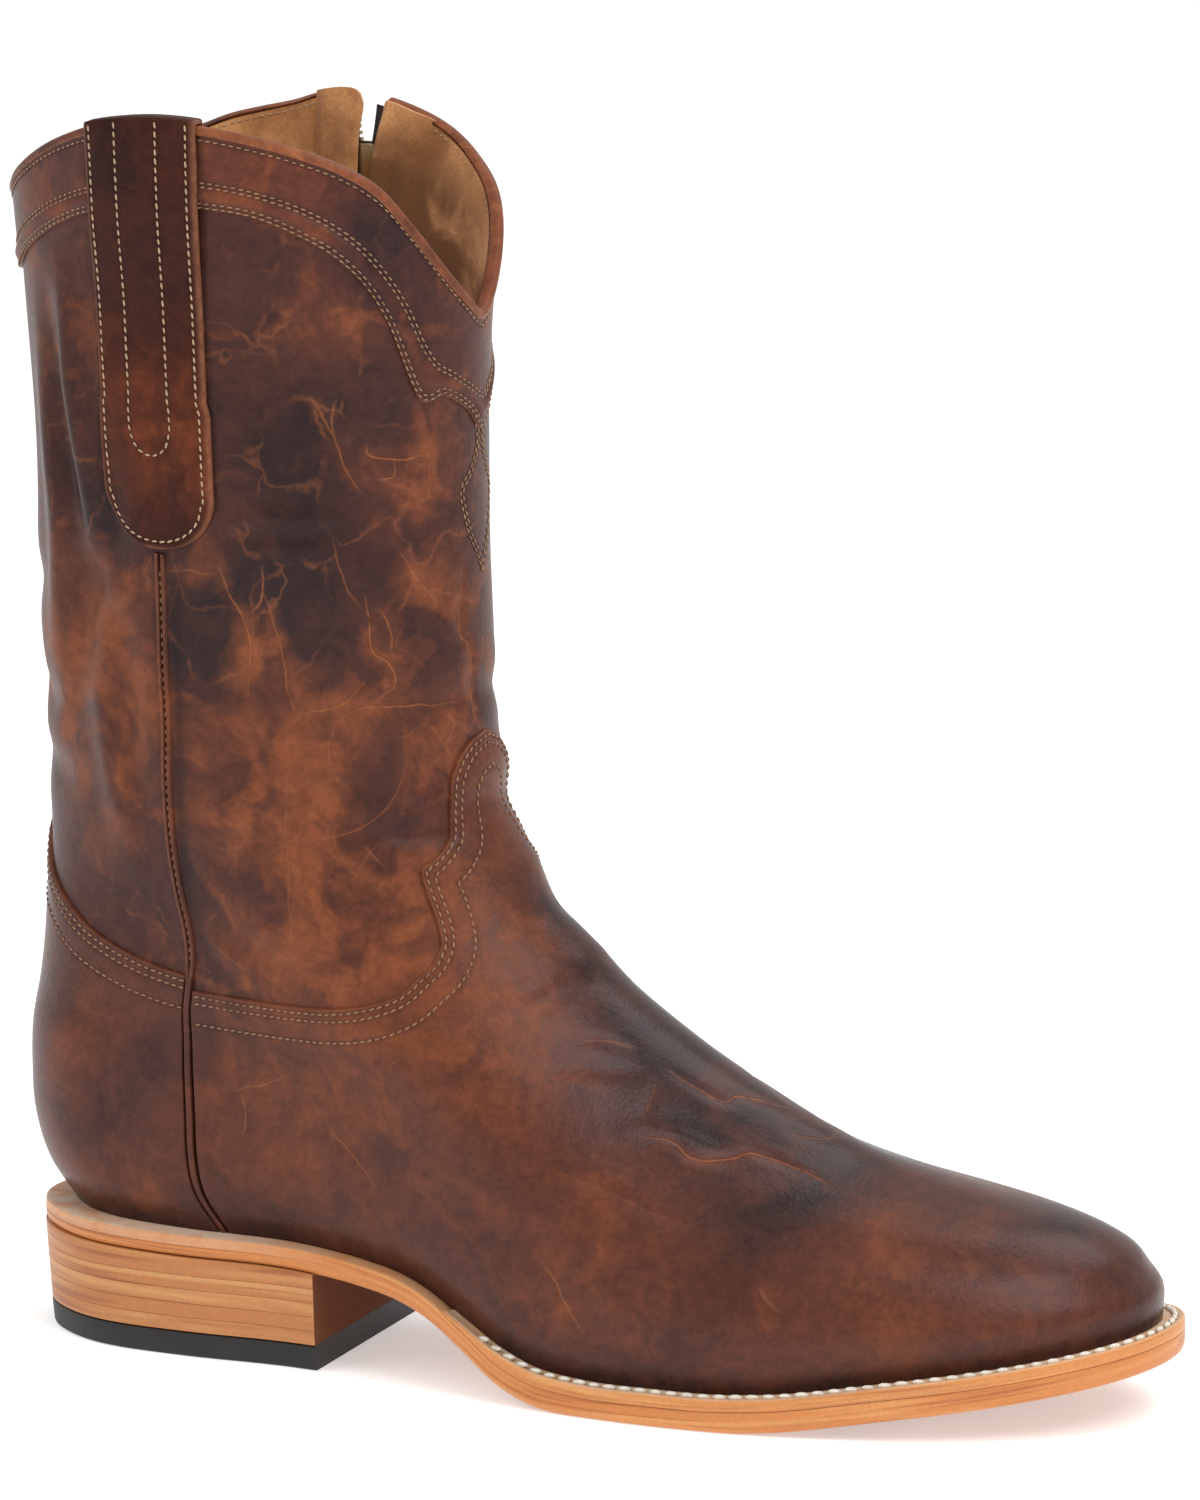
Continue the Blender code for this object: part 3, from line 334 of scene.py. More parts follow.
@dataclass(frozen=True)
class Last:
    """The form that the boot is built on: foot, shaft and the lines that are drawn on them."""

    length: float = 300.0
    ball_width: float = 91.0
    shaft_height: float = 328.0
    heel_height: float = 26.5
    toe_spring: float = 17.0
    sole: float = 6.0
    welt: float = 3.0
    gap: float = 0.3
    welt_start: float = 118.0
    welt_full: float = 146.0
    toe_swing: float = 7.0
    swing_start: float = 120.0
    flare: float = 3.5
    flare_angle: float = -30.0
    flare_spread: float = 34.0
    flare_start: float = 14.6
    flare_full: float = 16.0
    slot: float = 3.5
    slot_top: float = 6.5
    slot_opens: float = 15.55
    slot_open: float = 16.5
    zip_foot: float = 8.25
    corner: float = 6.7
    toe_spread: float = 34.0

    def sole_curve(self, x: Any) -> Array:
        """Height of the sole's underside before the tread is ground flat."""
        heel, spring = np.moveaxis(through(SOLE_LINE, np.asarray(x) * 100 / self.length), -1, 0)
        return (heel * self.heel_height + spring * self.toe_spring) / 100

    def sole_bottom(self, x: Any) -> Array:
        """Underside of the sole, flat on the floor under the ball."""
        return np.maximum(self.sole_curve(x), 0)

    def sole_top(self, x: Any) -> Array:
        """Upper face of the sole."""
        return self.sole_curve(x) + self.sole

    def welt_share(self, x: Any) -> Array:
        """Thickness of the welt as a share: none at the heel, full from the ball forwards."""
        return ease(self.welt_start, self.welt_full, x)

    def welt_top(self, x: Any) -> Array:
        """Upper face of the welt."""
        return self.sole_top(x) + self.gap + self.welt * self.welt_share(x)

    def feather(self, x: Any) -> Array:
        """Height of the upper's lower edge."""
        return self.welt_top(x) + self.gap * self.welt_share(x)

    def swing(self, x: Any) -> Array:
        """Lean of the foot to the inner side."""
        share = np.clip((np.asarray(x) - self.swing_start) / (self.length - self.swing_start), 0, 1.2)
        return self.toe_swing * share**2

    def ratio(self, angle: Array) -> Array:
        """Half width of the feather line, as a share of that at the side."""
        outer, inner = np.moveaxis(through(OUTLINE, np.abs(angle)) / through(OUTLINE, 90.0), -1, 0)
        return np.where(angle < 0, inner, outer)

    def sections(self) -> Array:
        """The sections in millimetres, the first one lying on the feather line.

        Returns:
            One row for each section: its number, then the columns of the table.
        """
        whole = (self.length, self.shaft_height) * 2 + (self.ball_width,) * 2
        rows = SECTIONS.copy()
        rows[:, :6] *= np.array(whole) / 100
        rows[0, 1] = self.feather(rows[0, 0])
        rows[0, 3] = self.feather(rows[0, 2])
        return np.column_stack([np.arange(len(rows)), rows])

    def skin(self, angle: Any, level: Any) -> Array:
        """The outside of the upper, without flare, folds or overlays.

        Args:
            angle: Angles round the foot.
            level: Levels.

        Returns:
            A point for each pair.
        """
        angle, level = np.broadcast_arrays(turned(angle), np.asarray(level, float))
        row = np.moveaxis(through(self.sections(), level), -1, 0)
        front, front_z, back, back_z, outer, inner, oval, follow, pinch = row
        half_width = np.where(angle < 0, inner, -outer)
        cosine = np.cos(np.radians(angle))
        x = (front + back) / 2 + (front - back) / 2 * cosine
        ratio = self.ratio(angle) * (1 - oval) + np.sin(np.radians(np.abs(angle))) * oval
        ratio = ratio * (1 - pinch * np.maximum(cosine, 0) ** 2)
        y = half_width * ratio + self.swing(x)
        share = (x - back) / (front - back)
        chord = self.feather(back) + (self.feather(front) - self.feather(back)) * share
        z = back_z + (front_z - back_z) * share + follow * (self.feather(x) - chord)
        return np.stack([x, y, z], -1)

    def outward(self, angle: Any, level: Any) -> Array:
        """Directions that point out of the upper.

        Args:
            angle: Angles round the foot.
            level: Levels.

        Returns:
            A direction for each pair.
        """
        turn, rise = 0.5, 0.02
        angle, level = np.asarray(angle, float), np.asarray(level, float)
        along = self.skin(angle + turn, level) - self.skin(angle - turn, level)
        up = self.skin(angle, level + rise) - self.skin(angle, np.maximum(level - rise, 0))
        return unit(np.cross(up, along))

    def flared(self, angle: Any, level: Any) -> Array:
        """How far the inner front of the collar stands out, and the tip of the toe in.

        Args:
            angle: Angles round the foot.
            level: Levels.

        Returns:
            Distances in millimetres.
        """
        near = bell((turned(angle) - self.flare_angle) / self.flare_spread)
        toe = bell(turned(angle) / self.toe_spread) * through(TOE_TRIM, level)[..., 0]
        return self.flare * near * ease(self.flare_start, self.flare_full, level) - toe

    def mm_per_degree(self, angle: Any, level: Any) -> Array:
        """Length of one degree round the upper."""
        angle, half = np.asarray(angle, float), 0.5
        return np.linalg.norm(self.skin(angle + half, level) - self.skin(angle - half, level), axis=-1)

    def collar(self, angle: Any) -> Array:
        """Level of the collar's edge."""
        return self.collar_row(COLLAR, angle)

    def collar_row(self, table: Array, angle: Any) -> Array:
        """A row that a table gives for the outer side, shifted with the rim on the inner side.

        Args:
            table: Angles and levels of the row.
            angle: Angles round the foot.

        Returns:
            A level for each angle.
        """
        angle = turned(angle)
        round_angle = np.abs(angle)
        shift = through(COLLAR_INNER, round_angle, True) - through(COLLAR, round_angle, True)
        return through(table, round_angle, True)[..., 0] + np.where(angle < 0, shift[..., 0], 0)

    def zip_angle(self, level: Any) -> Array:
        """Angle of the zip's middle line."""
        return through(ZIP_LINE, level)[..., 0]

    def slot_half(self, level: Any) -> Array:
        """Half width of the zip's slot."""
        return self.slot + (self.slot_top - self.slot) * ease(self.slot_opens, self.slot_open, level)

    def beside_zip(self, level: Any, distance: Any) -> Array:
        """Angle at a distance from the zip's middle, towards the toe where positive."""
        middle = self.zip_angle(level)
        return middle + distance / self.mm_per_degree(middle, level)

    def side_seam(self, level: Any) -> Array:
        """Angle of the outer side seam."""
        return through(SIDE_SEAM, level)[..., 0]

    def inner_seam(self, level: Any) -> Array:
        """Angle of the inner side seam, which runs up to the foot of the zip."""
        share = ease(self.corner, self.zip_foot, level)
        return -self.side_seam(level) * (1 - share) + self.zip_angle(level) * share

    def plan_edge(self, angles: Array, margin: Any) -> Array:
        """A line at a distance out from the feather line.

        Args:
            angles: Angles round the foot.
            margin: Distance out, in millimetres.

        Returns:
            Points in plan.
        """
        edge = self.skin(angles, 0.0)[..., :2]
        half = 1.0
        along = (self.skin(angles + half, 0.0) - self.skin(angles - half, 0.0))[..., :2]
        away = unit(np.stack([-along[..., 1], along[..., 0]], -1))
        return edge + away * np.broadcast_to(margin, edge.shape[:-1])[..., None]

    def sole_edge(self, angles: Array, inset: Any = 0.0) -> Array:
        """Points in plan along the sole's edge, or so far in from it."""
        margin = through(SOLE_MARGIN, self.skin(angles, 0.0)[..., 0])[..., 0]
        return self.plan_edge(angles, margin - inset)


LAST = Last()


@dataclass(frozen=True)
class Crease:
    """A soft trough or ridge along a line on the upper.

    Points are angles and levels. The width and the depth are in millimetres, and a ridge has a
    negative depth. Tint is how far the leather has gone pale along the line.
    """

    points: tuple[Spot, ...]
    width: float
    depth: float = 0.0
    tint: float = 0.0

    def mirrored(self, turn: float) -> "Crease":
        """The same crease on the other side of the foot, moved round by an angle."""
        points = tuple((turn - angle, level) for angle, level in self.points)
        return Crease(points, self.width, self.depth * 0.9, self.tint)


# Folds and cracks of the shaft's outer side
SHAFT_CREASES = (
    Crease(((47, 13.15), (46, 12.93), (46, 12.78), (41, 12.62), (39, 12.48), (43, 12.36)), 1.5, 0.5, 1.0),
    Crease(((43, 13.06), (40, 12.88), (40, 12.70)), 1.2, 0.3, 0.8),
    Crease(((84, 13.26), (82, 13.08), (79, 12.91), (77, 12.69), (78, 12.36), (79, 12.13)), 1.6, 0.3, 0.8),
    Crease(((73, 13.30), (73, 13.12), (76, 12.95)), 1.2, 0.2, 0.7),
    Crease(((73, 13.12), (70, 12.75), (69, 12.50), (68, 12.21), (65, 11.96)), 1.5, 0.3, 0.7),
    Crease(((59, 11.89), (56, 12.07), (47, 12.24), (32, 12.28), (16, 12.30)), 1.7, 0.5, 0.7),
    Crease(((59, 11.89), (60, 11.67), (58, 11.43)), 1.3, 0.3, 0.6),
    Crease(((48, 12.46), (51, 12.34), (56, 12.21), (66, 12.08)), 1.5, 0.4, 0.8),
    Crease(((60, 14.47), (56, 14.30), (54, 14.20), (51, 13.98), (47, 13.83)), 1.5, 0.4, 0.7),
    Crease(((53, 14.43), (54, 14.28), (53, 14.15)), 1.2, 0.3, 0.6),
    Crease(((45, 14.15), (44, 14.07), (36, 14.04), (25, 14.07)), 1.2, 0.3, 0.9),
    Crease(((37, 14.04), (37, 13.94), (42, 13.91)), 1.0, 0.2, 0.8),
    Crease(((36, 13.45), (29, 13.22), (23, 13.07)), 1.5, 0.4, 0.6),
    Crease(((12, 13.33), (14, 13.13), (15, 12.92), (10, 12.62), (10, 12.20)), 1.5, 0.5, 0.7),
    Crease(((55, 13.52), (52, 13.21), (48, 13.05)), 1.3, 0.3, 0.5),
    Crease(((85, 13.47), (73, 13.53), (63, 13.54), (52, 13.58)), 1.6, 0.6),
    Crease(((85, 13.55), (73, 13.61), (63, 13.62), (52, 13.66)), 2.4, -0.4),
    Crease(((97, 13.16), (91, 13.19), (85, 13.19)), 1.0, 0.2, 0.5),
    Crease(((38, 11.76), (43, 11.41), (53, 11.01), (62, 10.79), (71, 10.64), (81, 10.44)), 1.3, 0.2, 0.45),
    Crease(((73, 11.10), (77, 10.42), (83, 9.60), (90, 8.65)), 1.3, 0.2, 0.5),
    Crease(((64, 10.21), (56, 10.64), (52, 10.79)), 0.9, 0.2, 0.4),
    Crease(((57, 10.72), (56, 10.64), (54, 10.47)), 0.9, 0.2, 0.4),
    Crease(((57, 10.81), (47, 10.95), (38, 10.98), (31, 11.04)), 2.6, 0.9),
    Crease(((50, 11.14), (41, 11.20), (32, 11.20)), 3.6, -0.9),
    Crease(((111, 7.93), (109, 7.73), (106, 7.47)), 2.2, -0.6, 0.4),
    Crease(((104, 8.5), (100, 8.2), (95, 7.9)), 3.0, 0.7),
)

# Upright folds behind the strap and round the back of the ankle
BACK_FOLDS = (
    Crease(((114, 13.74), (116, 13.30), (126, 12.72), (130, 12.03), (135, 11.21)), 5.5, 2.2),
    Crease(((127, 15.1), (126, 14.4), (123, 13.9), (120, 13.4), (116, 12.9)), 5.0, -2.6),
    Crease(((141, 14.4), (139, 13.8), (137, 13.2), (138, 12.6), (141, 12.1)), 5.5, -1.9),
    Crease(((134, 14.9), (133, 14.1), (130, 13.4)), 4.5, 2.0),
    Crease(((119, 12.77), (112, 12.23), (113, 11.53), (115, 10.57)), 4.0, 1.3),
    Crease(((122, 11.9), (120, 11.2), (121, 10.3), (123, 9.4)), 5.0, -1.3),
    Crease(((170, 11.6), (155, 11.3), (142, 11.5)), 5.0, 1.3),
    Crease(((172, 10.4), (156, 10.2), (140, 10.4)), 5.0, 1.1),
    Crease(((174, 12.9), (160, 12.7), (150, 12.9)), 6.0, 1.0),
)

# Folds across the front of the ankle, which show in the outline of the instep
FRONT_FOLDS = (
    Crease(((-40, 12.05), (-15, 12.35), (12, 12.38), (34, 12.15)), 4.0, 0.9),
    Crease(((-44, 10.75), (-18, 11.25), (8, 11.35), (30, 11.05)), 4.5, 1.2),
    Crease(((-40, 11.2), (-12, 11.72), (14, 11.68)), 4.5, -0.4),
    Crease(((-50, 9.3), (-22, 9.95), (4, 10.15), (24, 9.95)), 5.0, 1.0),
    Crease(((-46, 9.9), (-14, 10.62), (12, 10.66)), 5.0, -0.9),
    Crease(((-30, 9.1), (0, 9.5), (22, 9.4)), 5.0, -0.6),
)

# Creases of the vamp and the counter
FOOT_CREASES = (
    Crease(((55, 6.22), (51, 6.20), (51, 5.84), (45, 5.92), (38, 6.13), (35, 5.89), (35, 5.46)),
           0.9, 0.5, 0.85),
    Crease(((55, 6.38), (50, 6.38), (44, 6.16), (38, 6.34)), 2.4, -0.4),
    Crease(((28, 7.72), (27, 7.41), (25, 7.19), (17, 7.31), (10, 7.22), (0, 7.02)), 0.9, 0.5, 0.65),
    Crease(((86, 2.85), (85, 2.60), (84, 1.96), (83, 1.38)), 0.9, 0.4, 0.75),
    Crease(((80, 2.9), (79, 2.3), (77, 1.6)), 3.5, -0.6),
    Crease(((76, 5.09), (72, 4.81), (68, 4.28), (65, 4.12)), 1.4, 0.6, 0.15),
    Crease(((77, 4.75), (73, 4.45), (69, 3.95)), 3.0, -0.5),
    Crease(((38, 7.37), (46, 6.91), (50, 6.62)), 1.0, 0.4, 0.3),
    Crease(((44, 8.00), (36, 8.17), (28, 8.07)), 1.2, 0.4, 0.3),
    Crease(((45, 8.58), (36, 8.86), (23, 9.13), (14, 9.21)), 2.6, 0.6),
    Crease(((50, 8.75), (42, 8.9), (33, 9.1)), 3.0, -0.5),
    Crease(((122, 3.71), (118, 4.00), (113, 4.53)), 1.6, 0.1, 0.6),
    Crease(((121, 3.7), (121, 3.2), (122, 2.6)), 1.6, 0.1, 0.6),
    Crease(((110, 3.29), (108, 2.92), (106, 2.35)), 1.8, 0.2, 0.6),
    Crease(((60, 7.3), (48, 7.55), (38, 7.6)), 2.5, 0.4),
    Crease(((20, 6.6), (8, 6.5), (-6, 6.55)), 1.6, 0.3, 0.3),
    Crease(((63, 2.9), (62, 2.5), (61, 2.3)), 0.8, 0.1, 0.4),
)

# Soft patches where the leather is rubbed to rust
RUST_PATCHES = np.array([
    # angle, level, radius in mm, strength
    (121, 12.4, 17, 0.9), (130, 10.7, 17, 0.8), (108, 11.8, 11, 0.8), (77, 12.7, 11, 0.6),
    (67, 11.8, 18, 0.6), (36, 13.8, 14, 0.3), (24, 14.0, 11, 0.35), (25, 12.2, 14, 0.3),
    (79, 8.6, 18, 0.9), (99, 7.8, 15, 0.9), (57, 9.5, 11, 0.7), (75, 10.3, 18, 0.5), (55, 10.0, 14, 0.5),
    (85, 11.0, 14, 0.4), (19, 13.2, 11, 0.4), (54, 15.0, 12, 0.4), (80, 16.2, 10, 0.6),
    (63, 16.0, 8, 0.5), (137, 14.9, 11, 0.4), (165, 12.0, 22, 0.5), (68, 9.4, 38, 0.40),
    (77, 6.4, 19, 0.6), (35, 9.7, 11, 0.7), (51, 8.7, 14, 0.6), (150, 3.8, 10, 0.9), (121, 3.7, 11, 0.5),
    (115, 2.5, 14, 0.5), (41, 4.3, 11, 0.5), (78, 3.6, 14, 0.4), (101, 5.0, 14, 0.5), (138, 1.0, 6, 0.6),
    (86, 1.7, 11, 0.4), (49, 1.6, 17, 0.4),
])

# Soft patches where the leather is darker
DEEP_PATCHES = np.array([
    # angle, level, radius in mm, strength
    (70, 14.2, 17, 0.9), (63, 13.7, 14, 0.9), (82, 12.9, 13, 0.9), (90, 12.3, 11, 0.8),
    (57, 12.9, 13, 0.9), (60, 12.4, 11, 0.7), (27, 12.8, 11, 0.8), (66, 13.2, 13, 0.6),
    (107, 9.3, 7, 0.8), (127, 13.7, 8, 0.7), (114, 13.5, 9, 0.8), (126, 8.7, 12, 0.6),
    (47, 15.4, 12, 0.5), (45, 11.4, 8, 0.5), (44, 10.9, 6, 0.8), (39, 14.5, 8, 0.6), (50, 14.4, 12, 0.6),
    (160, 9.6, 16, 0.5), (26, 6.7, 24, 0.9), (27, 7.6, 19, 0.8), (20, 5.9, 18, 0.8), (-6, 8.8, 15, 0.7),
    (140, 2.9, 11, 0.7), (119, 0.3, 18, 0.5), (98, 1.1, 15, 0.5), (-14, 3.9, 12, 0.6), (134, 4.0, 8, 0.5),
    (-10, 10.0, 8, 0.6), (60, 4.5, 13, 0.5), (46, 5.0, 13, 0.6), (6, 9.2, 14, 0.5),
])


class Wear:
    """The creases and colour patches of the whole upper, on both sides of the foot.

    Thin cracks are kept as distances from their lines, so that a material can draw them finer than
    the mesh. Cracks that lie close together are kept apart in a few channels.
    """

    SAMPLES = 18
    CHANNELS = 3
    REACH = 9.0
    TURN = -6.0
    FINEST = 1.7
    ZIP_CLEAR = 11.0
    WAVES = (
        # direction, wavelength in mm, height in mm
        ((0.6, 0.3, 0.74), 61.0, 0.28),
        ((-0.5, 0.8, 0.33), 43.0, 0.20),
        ((0.8, -0.5, 0.33), 37.0, 0.16),
    )
    WAVE_LOW, WAVE_HIGH = 90.0, 150.0

    def __init__(self) -> None:
        """Places the lines and the patches in space."""
        seen = SHAFT_CREASES + BACK_FOLDS + FOOT_CREASES
        hidden = tuple(crease.mirrored(self.TURN) for crease in seen)
        self.creases: list[tuple[Crease, Array]] = []
        self.cracks: list[tuple[Crease, Array, int]] = []
        for crease in seen + hidden + FRONT_FOLDS:
            line = smooth_line(crease.points, self.SAMPLES)
            points = LAST.skin(line[:, 0], line[:, 1])
            self.creases.append((crease, points))
            if crease.tint:
                self.cracks.append((crease, points, self.free_channel(points)))
        levels = np.linspace(LAST.zip_foot, 17, 60)
        self.zip_line = LAST.skin(LAST.zip_angle(levels), levels)
        self.patches = {"rust": self.both_sides(RUST_PATCHES), "deep": self.both_sides(DEEP_PATCHES)}

    def free_channel(self, points: Array) -> int:
        """Finds room for a crack.

        Args:
            points: Points of the crack.

        Returns:
            The channel whose cracks lie farthest from it.
        """
        room = [2 * self.REACH] * self.CHANNELS
        for _, line, channel in self.cracks:
            gap = np.linalg.norm(points[:, None] - line[None], axis=-1).min()
            room[channel] = min(room[channel], float(gap))
        return int(np.argmax(room))

    def both_sides(self, patches: Array) -> list[tuple[Array, float, float]]:
        """Places patches on the outer side and, mirrored, on the inner side.

        Args:
            patches: Rows of a table of patches.

        Returns:
            The middle, the radius and the strength of each.
        """
        found = []
        for angle, level, radius, strength in patches:
            for side in (angle, self.TURN - angle):
                found.append((LAST.skin(side, level), radius, strength))
        return found

    def relief(self, points: Array, level: Array) -> Array:
        """Height of folds and creases over the plain skin.

        Args:
            points: Points of the skin, one a row.
            level: Their levels, since the folds fade at the sole.

        Returns:
            The height at each point, in millimetres.
        """
        height = np.zeros(len(points))
        for crease, line in self.creases:
            width = max(crease.width, self.FINEST)
            near = close_to(points, line, 4 * width)
            away, place, _ = beside(points[near], line)
            fade = np.sin(np.pi * (0.04 + 0.92 * place)) ** 0.7
            trough = bell(away / width) - 0.25 * bell(away / width - 2)
            height[near] -= crease.depth * crease.width / width * fade * trough
        for direction, wavelength, high in self.WAVES:
            wave = np.sin(points @ np.array(direction) * 2 * np.pi / wavelength)
            height += high * wave * ease(self.WAVE_LOW, self.WAVE_HIGH, points[:, 2])
        zip_clear = 1 - bell(beside(points, self.zip_line)[0] / self.ZIP_CLEAR, 4)
        return height * ease(0.3, 1.3, level) * zip_clear

    def tints(self, points: Array, normals: Array) -> Tints:
        """Shares of rust and of darker leather at points of the skin, and their places beside the cracks.

        Args:
            points: Points of the skin, one a row.
            normals: Directions out of it.

        Returns:
            Values by the names that the leather's material reads.
        """
        tints = {}
        for channel in range(self.CHANNELS):
            away, reach = np.full(len(points), self.REACH), np.zeros(len(points))
            for crease, line, own in self.cracks:
                if own != channel:
                    continue
                near = close_to(points, line, self.REACH)
                distance, place, across = beside(points[near], line)
                closer = distance < np.abs(away[near])
                side = np.where((across * normals[near]).sum(-1) < 0, -1.0, 1.0)
                fade = np.sin(np.pi * (0.03 + 0.94 * place)) ** 0.6 * (place > 0) * (place < 1)
                fade = fade * (1 - ease(0.6 * self.REACH, self.REACH, distance))
                away[near] = np.where(closer, distance * side, away[near])
                reach[near] = np.where(closer, crease.tint * fade, reach[near])
            tints[f"crack_{channel}"], tints[f"crack_reach_{channel}"] = away, reach
        for name, patches in self.patches.items():
            share = np.zeros(len(points))
            for middle, radius, strength in patches:
                share += strength * bell(np.linalg.norm(points - middle, axis=-1) / radius)
            tints[name] = np.clip(share, 0, 1)
        return tints


WEAR = Wear()


class Skin:
    """The upper's skin, with its folds, at a grid of angles and levels."""

    def __init__(self, angle: Any, level: Any) -> None:
        """Works out the points, their outward directions and the height of the folds.

        Args:
            angle: Angles round the foot.
            level: Levels.
        """
        angle, level = np.broadcast_arrays(np.asarray(angle, float), np.asarray(level, float))
        self.angle, self.level = angle, level
        self.normal = LAST.outward(angle, level)
        self.base = LAST.skin(angle, level) + self.normal * LAST.flared(angle, level)[..., None]
        self.relief = WEAR.relief(self.base.reshape(-1, 3), level.ravel()).reshape(level.shape)

    def at(self, out: Any) -> Array:
        """Points at a distance out from the skin."""
        return self.base + self.normal * (self.relief + np.asarray(out))[..., None]

    def tints(self) -> Tints:
        """Values that the leather's material reads at the points."""
        found = WEAR.tints(self.base.reshape(-1, 3), self.normal.reshape(-1, 3))
        return {key: value.reshape(self.level.shape) for key, value in found.items()}


def moved_line(line: Array, distance: float) -> Array:
    """A line that runs beside another on the upper, below it where the line runs round to the outer side.

    Args:
        line: Angles and levels along the first line.
        distance: How far away the new one lies, in millimetres.

    Returns:
        Angles and levels of the new line, without the loops that form in tight corners.
    """
    turn, rise = 0.25, 0.01
    start = LAST.skin(line[:, 0], line[:, 1])
    sideways = unit(np.cross(LAST.outward(line[:, 0], line[:, 1]), unit(np.gradient(start, axis=0))))
    target = start + sideways * distance
    moved = line.astype(float).copy()
    for _ in range(4):
        angle, level = moved[:, 0], moved[:, 1]
        by_angle = (LAST.skin(angle + turn, level) - LAST.skin(angle - turn, level)) / (2 * turn)
        by_level = (LAST.skin(angle, level + rise) - LAST.skin(angle, level - rise)) / (2 * rise)
        miss = target - LAST.skin(angle, level)
        aa, bb = (by_angle**2).sum(-1), (by_level**2).sum(-1)
        ab = (by_angle * by_level).sum(-1)
        ma, mb = (miss * by_angle).sum(-1), (miss * by_level).sum(-1)
        whole = aa * bb - ab**2
        moved += np.stack([(ma * bb - mb * ab) / whole, (mb * aa - ma * ab) / whole], -1)
        moved[:, 1] = np.clip(moved[:, 1], 0.05, 16.9)
    clear = beside(target, start)[0] >= 0.96 * abs(distance)
    return moved[clear]


def cell_corners(row: Array, column: Array, columns: int) -> Array:
    """Indices of the four corners of cells in a grid, whose last column is followed by the first."""
    near, far, ahead = row * columns, (row + 1) * columns, (column + 1) % columns
    return np.stack([near + column, far + column, far + ahead, near + ahead], -1)


def wall_faces(rows: int, columns: int, wrap: bool, left_out: Array | None) -> Array:
    """Faces of a closed wall between two grids of points.

    Args:
        rows: Rows of each grid.
        columns: Columns of each grid.
        wrap: Whether the last column joins the first.
        left_out: Cells that stay open, or None.

    Returns:
        Four indices a face, into the outer grid's points followed by the inner grid's.
    """
    cells = np.ones((rows - 1, columns if wrap else columns - 1), bool)
    if left_out is not None:
        cells &= ~left_out
    r, c = np.nonzero(cells)
    ring = cell_corners(r, c, columns)
    edges = np.pad(cells, 1)
    if wrap:
        edges[:, 0], edges[:, -1] = edges[:, -2], edges[:, 1]
    full = edges[r + 1, c], edges[r + 2, c + 1], edges[r + 1, c + 2], edges[r, c + 1]
    faces = [ring, ring[:, ::-1] + rows * columns]
    for side, covered in enumerate(full):
        start, end = ring[~covered, side], ring[~covered, (side + 1) % 4]
        faces.append(np.stack([end, start, start + rows * columns, end + rows * columns], 1))
    return np.concatenate(faces)


def linked(name: str, data: Any) -> Piece:
    """A new object of the scene."""
    piece = bpy.data.objects.new(name, data)
    bpy.context.scene.collection.objects.link(piece)
    return piece


def made_plain(piece: Piece) -> bpy.types.Mesh:
    """Turns an object with modifiers into a plain mesh.

    Args:
        piece: The object, which loses its modifiers.

    Returns:
        Its new mesh.
    """
    bpy.context.view_layer.update()
    graph = bpy.context.evaluated_depsgraph_get()
    plain = bpy.data.meshes.new_from_object(piece.evaluated_get(graph))
    piece.modifiers.clear()
    piece.data = plain
    return plain


def make_piece(name: str, points: Array, faces: Faces, look: Look, tints: Tints | None = None,
               face_tints: Tints | None = None) -> Piece:
    """Makes an object from points in millimetres and faces.

    Args:
        name: Name of the piece.
        points: Points in the axes of the last.
        faces: Indices of each face's corners.
        look: Its material.
        tints: Values at the points that the material reads, by name.
        face_tints: Values of the faces that the material reads, by name.

    Returns:
        The new object, at the origin, with its faces turned outwards.
    """
    points = np.asarray(points, float).reshape(-1, 3)
    ordered = [list(map(int, face)) for face in faces]
    fans = [(face[0], face[k], face[k + 1]) for face in ordered for k in range(1, len(face) - 1)]
    first, second, third = np.moveaxis(points[np.array(fans)], 1, 0)
    if (first * np.cross(second, third)).sum() < 0:
        ordered = [face[::-1] for face in ordered]
    mesh = bpy.data.meshes.new(name)
    mesh.from_pydata(((points - ORIGIN) * MM).tolist(), [], ordered)
    for domain, values in (("POINT", tints or {}), ("FACE", face_tints or {})):
        for key, value in values.items():
            layer = mesh.attributes.new(key, "FLOAT", domain)
            layer.data.foreach_set("value", np.asarray(value, np.float32).ravel())
    mesh.shade_smooth()
    mesh.set_sharp_from_angle(angle=SHARP_ANGLE)
    mesh.materials.append(look)
    return linked(name, mesh)


def make_wall(name: str, outside: Array, inside: Array, look: Look, tints: Tints | None = None,
              wrap: bool = False, left_out: Array | None = None) -> Piece:
    """Makes a closed wall between two grids of points.

    Args:
        name: Name of the piece.
        outside: Points of the outer face, by row and column.
        inside: Points of the inner face.
        look: Its material.
        tints: Values that the material reads, the same on both faces.
        wrap: Whether the last column joins the first.
        left_out: Cells that stay open, or None.

    Returns:
        The new object.
    """
    used, faces = np.unique(wall_faces(*outside.shape[:2], wrap, left_out), return_inverse=True)
    points = np.concatenate([outside.reshape(-1, 3), inside.reshape(-1, 3)])[used]
    both = {key: np.tile(np.ravel(value), 2)[used] for key, value in (tints or {}).items()}
    return make_piece(name, points, faces.reshape(-1, 4), look, both)


